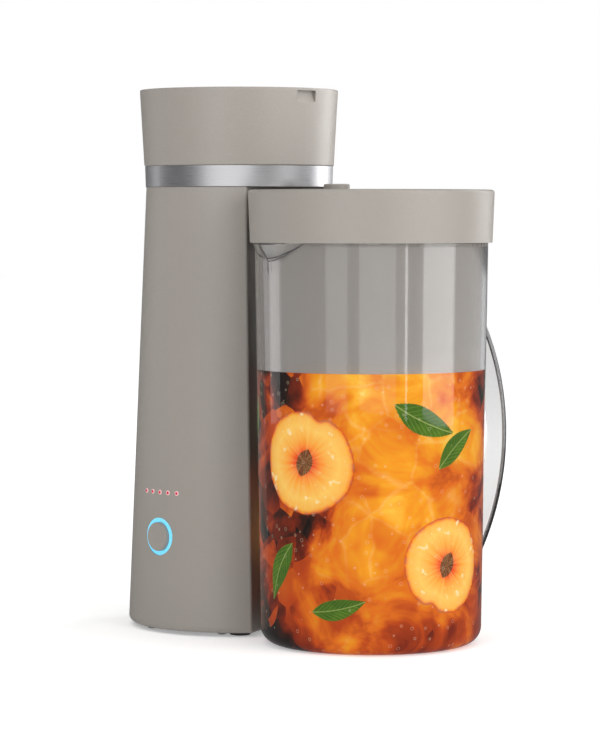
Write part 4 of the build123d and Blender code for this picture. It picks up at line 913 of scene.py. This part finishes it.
# across and up, in shares of a radius and a height: from the rim to the middle of a lens, from
# the middle to the rim of a foot, and from the middle to the rim of a screw's head
LENS_ROUNDING = [(1.0, 0.0), (0.97, 0.35), (0.88, 0.65), (0.7, 0.86), (0.4, 0.97), (0.0, 1.0)]
FOOT_OUTLINE = [(0.0, 0.18), (0.55, 0.18), (0.66, 0.0), (0.86, 0.0), (0.94, 0.08), (0.99, 0.25),
                (1.0, 0.45), (1.0, 1.0)]
PAN_OUTLINE = [(0.0, 1.0), (0.55, 0.98), (0.78, 0.88), (0.93, 0.68), (1.0, 0.4), (1.0, 0.0)]
# places from the tower's axis: the feet, the screws near the rim and those in the chassis legs
FEET = [(0.039, -0.035), (0.039, 0.035), (-0.04, -0.04), (-0.04, 0.04)]
SCREW_REACH = 0.0612
SCREW_TURNS = (-100.0, 100.0, -52.0, 52.0)
LEG_SCREWS = [(0.026, -0.04), (0.026, 0.04), (-0.03, -0.044), (-0.03, 0.044)]
SCREW_SEAT = 0.003


class TEAMAKER_OT_lamps(Operator):
    """Set the row of indicator lamps in the housing"""
    bl_idname = "teamaker.lamps"
    bl_label = "Set the Indicator Lamps"

    def execute(self, context):
        lamps = context.scene.tea_maker_lamps
        halo = lit("pale_lamp_lens", (0.62, 0.4, 0.4), (0.72, 0.42, 0.45), 0.35)
        core = bpy.data.materials["red_lamp"]
        for name, radius, back, proud, finish, replaced in (
                ("lamp_lenses", lamps.lens_radius, 0.0047, 0.0003, halo, ["indicator_lenses"]),
                ("lamp_cores", lamps.core_radius, 0.001, 0.00055, core, [])):
            r = Recipe(name, {"Number": lamps.lamps, "Pitch": lamps.pitch, "Height": lamps.height,
                              "Reach": lamps.reach, "Radius": radius, "Back": back, "Proud": proud})
            number, pitch, height, reach, wide, behind, tall = r.given
            turn = (r.index() + (number - 1.0) * -0.5) * pitch + -math.pi / 2
            spots = r.rows(number, r.joined(r.math("COSINE", turn) * reach + TOWER_AXIS.x,
                                            r.math("SINE", turn) * reach + TOWER_AXIS.y, height))
            base = behind * -1.0
            lens = r.turned([(0.0, base), (wide, base)]
                            + [(wide * across, tall * up) for across, up in LENS_ROUNDING])
            lens = r.moved(lens, Rotation=(0.0, math.pi / 2, 0.0))
            row = r.instances(spots, lens, Rotation=r.joined(0.0, 0.0, turn))
            settle(r.made(name, row, finish), "tower", finish, replaced)
        return {"FINISHED"}


class TEAMAKER_OT_feet(Operator):
    """Put the rubber feet under the tower"""
    bl_idname = "teamaker.feet"
    bl_label = "Fit the Feet"

    def execute(self, context):
        feet = context.scene.tea_maker_feet
        places = [TOWER_AXIS + Vector((x, y, 0.0)) for x, y in FEET]
        r = Recipe("rubber_foot", sizes_of(feet), True)
        wide, tall, stem, stem_length = r.given
        plate = tall + stem_length
        foot = r.turned([(wide * across, tall * up) for across, up in FOOT_OUTLINE]
                        + [(stem, tall), (stem, plate), (0.0, plate)], 40)
        finish = bpy.data.materials["dark_grey_rubber"]
        made = r.made("rubber_feet", r.instances(r.places, foot), finish, places)
        settle(made, "tower", finish, ["feet"])
        return {"FINISHED"}


class TEAMAKER_OT_screws(Operator):
    """Drive the pan-head screws into the base plate"""
    bl_idname = "teamaker.screws"
    bl_label = "Drive the Base Screws"

    def execute(self, context):
        screws = context.scene.tea_maker_screws
        rim = [(SCREW_REACH * math.cos(math.radians(turn)),
                SCREW_REACH * math.sin(math.radians(turn))) for turn in SCREW_TURNS]
        places = [TOWER_AXIS + Vector((x, y, SCREW_SEAT)) for x, y in rim + LEG_SCREWS]
        r = Recipe("pan_head_screw", sizes_of(screws), True)
        wide, head, shank, shank_radius, slot = r.given
        tall = head * -1.0
        solid = r.turned([(wide * across, tall * up) for across, up in PAN_OUTLINE]
                         + [(shank_radius, 0.0), (shank_radius, shank), (0.0, shank)], 32)
        arm = wide * 1.3
        cut = r.add("GeometryNodeMeshBoolean", {"Mesh 1": solid}, operation="DIFFERENCE",
                    solver="EXACT")
        for size in ((arm, slot), (slot, arm)):
            bar = r.out("GeometryNodeMeshCube", {"Size": r.joined(*size, slot)}, "Mesh")
            r.feed(cut.inputs["Mesh 2"], r.moved(bar, r.joined(0.0, 0.0, tall)))
        steel = bpy.data.materials["drawn_steel"]
        made = r.made("base_plate_screws", r.instances(r.places, Wire(r, cut.outputs["Mesh"])),
                      steel, places)
        drop_scraps(made.data)
        settle(made, "tower", steel, ["base_screws"])
        return {"FINISHED"}


# lamps: place, turn to the right of the camera, width, upper edge, distance, radiance, and what
# they light: the pitcher's clear wall and film, the trim band, the head, or the other pieces
LAMPS = [
    ("right_window", 69.5, 0.9, 1.25, 1.25, 2.3, "clear"),
    ("right_strip", 33.0, 0.045, 1.15, 1.25, 3.6, "clear"),
    ("left_window", -33.0, 0.5, 1.3, 1.3, 0.8, "clear"),
    ("front_window", 6.0, 0.8, 1.3, 1.3, 0.9, "clear"),
    ("left_back_window", -110.0, 0.4, 1.2, 1.25, 0.9, "clear"),
    ("right_window", 52.0, 2.1, 2.2, 2.2, 2.6, "solid"),
    ("left_window", -28.0, 0.8, 1.3, 1.3, 1.7, "solid"),
    ("left_back_window", -114.0, 0.45, 1.2, 1.25, 0.5, "solid"),
    ("right_back_window", 128.0, 0.85, 2.2, 2.2, 3.4, "solid"),
    ("right_window", 95.0, 1.6, 2.2, 2.2, 1.5, "head"),
    ("right_back", 126.0, 0.7, 2.2, 2.2, 2.2, "head"),
    ("left", -14.0, 1.55, 1.3, 1.3, 1.25, "band"),
    ("left_back", -118.0, 0.2, 1.2, 1.25, 1.3, "band"),
    ("right", 62.0, 0.7, 1.25, 1.25, 0.9, "band"),
    ("right_back", 124.0, 0.55, 1.2, 1.25, 3.6, "band"),
]
LAMP_FOOT = 0.02
OVERHEAD_SIZE = 1.6
OVERHEAD_FORWARD = 0.3
OVERHEAD_HEIGHT = 1.7
OVERHEAD_RADIANCE = 1.1
FLOOR_REACH = 8.0
CLEAR_PIECES = ("pitcher_shell", "pitcher_handle", "pitcher_liner", "printed_wrap")
HEAD_PIECES = ("head_shell", "head_lid")


class TEAMAKER_OT_stage(Operator):
    """Lay the floor, hang the studio lamps and set up the camera"""
    bl_idname = "teamaker.stage"
    bl_label = "Set the Stage"

    def execute(self, context):
        scene = context.scene
        studio = scene.tea_maker_studio
        scene.view_settings.view_transform = "Standard"
        scene.view_settings.look = "None"
        self.floor(studio)
        self.room(scene, studio)
        azimuth = studio.view_azimuth
        right = Vector((math.cos(azimuth), math.sin(azimuth), 0.0))
        level = Vector((math.sin(azimuth), -math.cos(azimuth), 0.0))
        self.camera(scene, studio, right, level)
        lit_sets = {kind: bpy.data.collections.new(kind + "_pieces")
                    for kind in ("clear", "solid", "band", "head")}
        for thing in scene.objects:
            if thing.name in HEAD_PIECES:
                lit_sets["head"].objects.link(thing)
            if thing.type == "MESH":
                kind = "clear" if thing.name in CLEAR_PIECES else "solid"
                kind = "band" if thing.name == "trim_band" else kind
                lit_sets[kind].objects.link(thing)
        for name, turn, width, top, distance, radiance, kind in LAMPS:
            turn = math.radians(turn)
            direction = level * math.cos(turn) + right * math.sin(turn)
            middle = Vector((0.0, 0.0, (LAMP_FOOT + top) / 2))
            lamp = self.lamp(f"{kind}_{name}", direction * distance + middle, width,
                             top - LAMP_FOOT, radiance)
            lamp.rotation_euler = direction.to_track_quat("Z", "Y").to_euler()
            lamp.light_linking.receiver_collection = lit_sets[kind]
        over = level * OVERHEAD_FORWARD + Vector((0.0, 0.0, OVERHEAD_HEIGHT))
        self.lamp("overhead", over, OVERHEAD_SIZE, OVERHEAD_SIZE, OVERHEAD_RADIANCE)
        return {"FINISHED"}

    def camera(self, scene, studio, right, level):
        elevation = studio.view_elevation
        back = level * math.cos(elevation) + Vector((0.0, 0.0, math.sin(elevation)))
        target = (TOWER_AXIS + right * studio.target_right
                  + Vector((0.0, 0.0, studio.target_height)))
        view = bpy.data.cameras.new("camera")
        view.lens = studio.lens
        view.clip_start, view.clip_end = 0.05, 50.0
        camera = piece("camera", view)
        turn = Matrix((right, back.cross(right), back)).transposed().to_4x4()
        camera.matrix_world = Matrix.Translation(target + back * studio.view_distance) @ turn
        scene.camera = camera

    def floor(self, studio):
        reach = FLOOR_REACH
        mesh = mesh_of("floor", [(-reach, -reach, 0), (reach, -reach, 0), (reach, reach, 0),
                                 (-reach, reach, 0)], [(0, 1, 2, 3)])
        s = Surface("pale_floor", roughness=0.7, specular=0.2, glow=(1.0, 1.0, 1.0))
        tone = studio.floor
        far = s.vector("LENGTH", s.place, pick="Value")
        s.put(glow_strength=s.spread(far, 0.3, 1.6, studio.floor_glow * 0.55, studio.floor_glow),
              base=s.mix(s.noise(s.place, 3.0), shade(tone, 0.99), tone))
        mesh.materials.append(s.material)
        floor = piece("floor", mesh)
        floor.visible_glossy = False

    def room(self, scene, studio):
        world = bpy.data.worlds.new("room")
        scene.world = world
        world.use_nodes = True
        g = Graph(world.node_tree)
        g.tree.nodes.clear()
        path = g.outs("ShaderNodeLightPath")
        power = (g.spread(path["Is Camera Ray"], 0.0, 1.0, studio.room_light, 1.0, "LINEAR")
                 * g.spread(path["Is Glossy Ray"], 0.0, 1.0, 1.0, studio.room_gloss, "LINEAR"))
        ground = g.out("ShaderNodeBackground", {"Color": (1.0, 1.0, 1.0), "Strength": power})
        g.add("ShaderNodeOutputWorld", {"Surface": ground})

    def lamp(self, name, place, width, height, radiance):
        data = bpy.data.lights.new(name, "AREA")
        data.shape = "RECTANGLE"
        data.size, data.size_y = width, height
        data.energy = radiance * math.pi * width * height
        lamp = piece(name, data)
        lamp.location = place
        lamp.visible_camera = False
        return lamp


class TEAMAKER_PT_panel(Panel):
    """Lists the steps that make the tea maker"""
    bl_idname = "TEAMAKER_PT_panel"
    bl_label = "Iced Tea Maker"
    bl_space_type = "VIEW_3D"
    bl_region_type = "UI"
    bl_category = "Tea Maker"

    def draw(self, context):
        layout = self.layout
        for step in STEPS:
            layout.operator(step.bl_idname)
        for attribute, group in GROUPS.items():
            box = layout.box()
            box.label(text=attribute.replace("tea_maker_", "").capitalize())
            for key in group.__annotations__:
                box.prop(getattr(context.scene, attribute), key)


GROUPS = {"tea_maker_" + word: group for word, group in (
    ("housing", HousingFinish), ("pitcher", PitcherFinish), ("crease", SpoutCrease),
    ("wrap", WrapPrint), ("filter", FilterWeave), ("lamps", LampSizes), ("feet", FootSizes),
    ("screws", ScrewSizes), ("studio", StudioSetup))}
STEPS = [TEAMAKER_OT_finishes, TEAMAKER_OT_wrap, TEAMAKER_OT_crease, TEAMAKER_OT_filter,
         TEAMAKER_OT_lamps, TEAMAKER_OT_feet, TEAMAKER_OT_screws, TEAMAKER_OT_stage]


def register():
    for cls in [*GROUPS.values(), *STEPS, TEAMAKER_PT_panel]:
        bpy.utils.register_class(cls)
    for attribute, group in GROUPS.items():
        setattr(bpy.types.Scene, attribute, bpy.props.PointerProperty(type=group))


def unregister():
    for attribute in GROUPS:
        delattr(bpy.types.Scene, attribute)
    for cls in reversed([*GROUPS.values(), *STEPS, TEAMAKER_PT_panel]):
        bpy.utils.unregister_class(cls)


def main():
    register()
    bpy.ops.teamaker.finishes()
    bpy.ops.teamaker.wrap()
    bpy.ops.teamaker.crease()
    bpy.ops.teamaker.filter()
    bpy.ops.teamaker.lamps()
    bpy.ops.teamaker.feet()
    bpy.ops.teamaker.screws()
    bpy.ops.teamaker.stage()


if __name__ == "__main__":
    main()
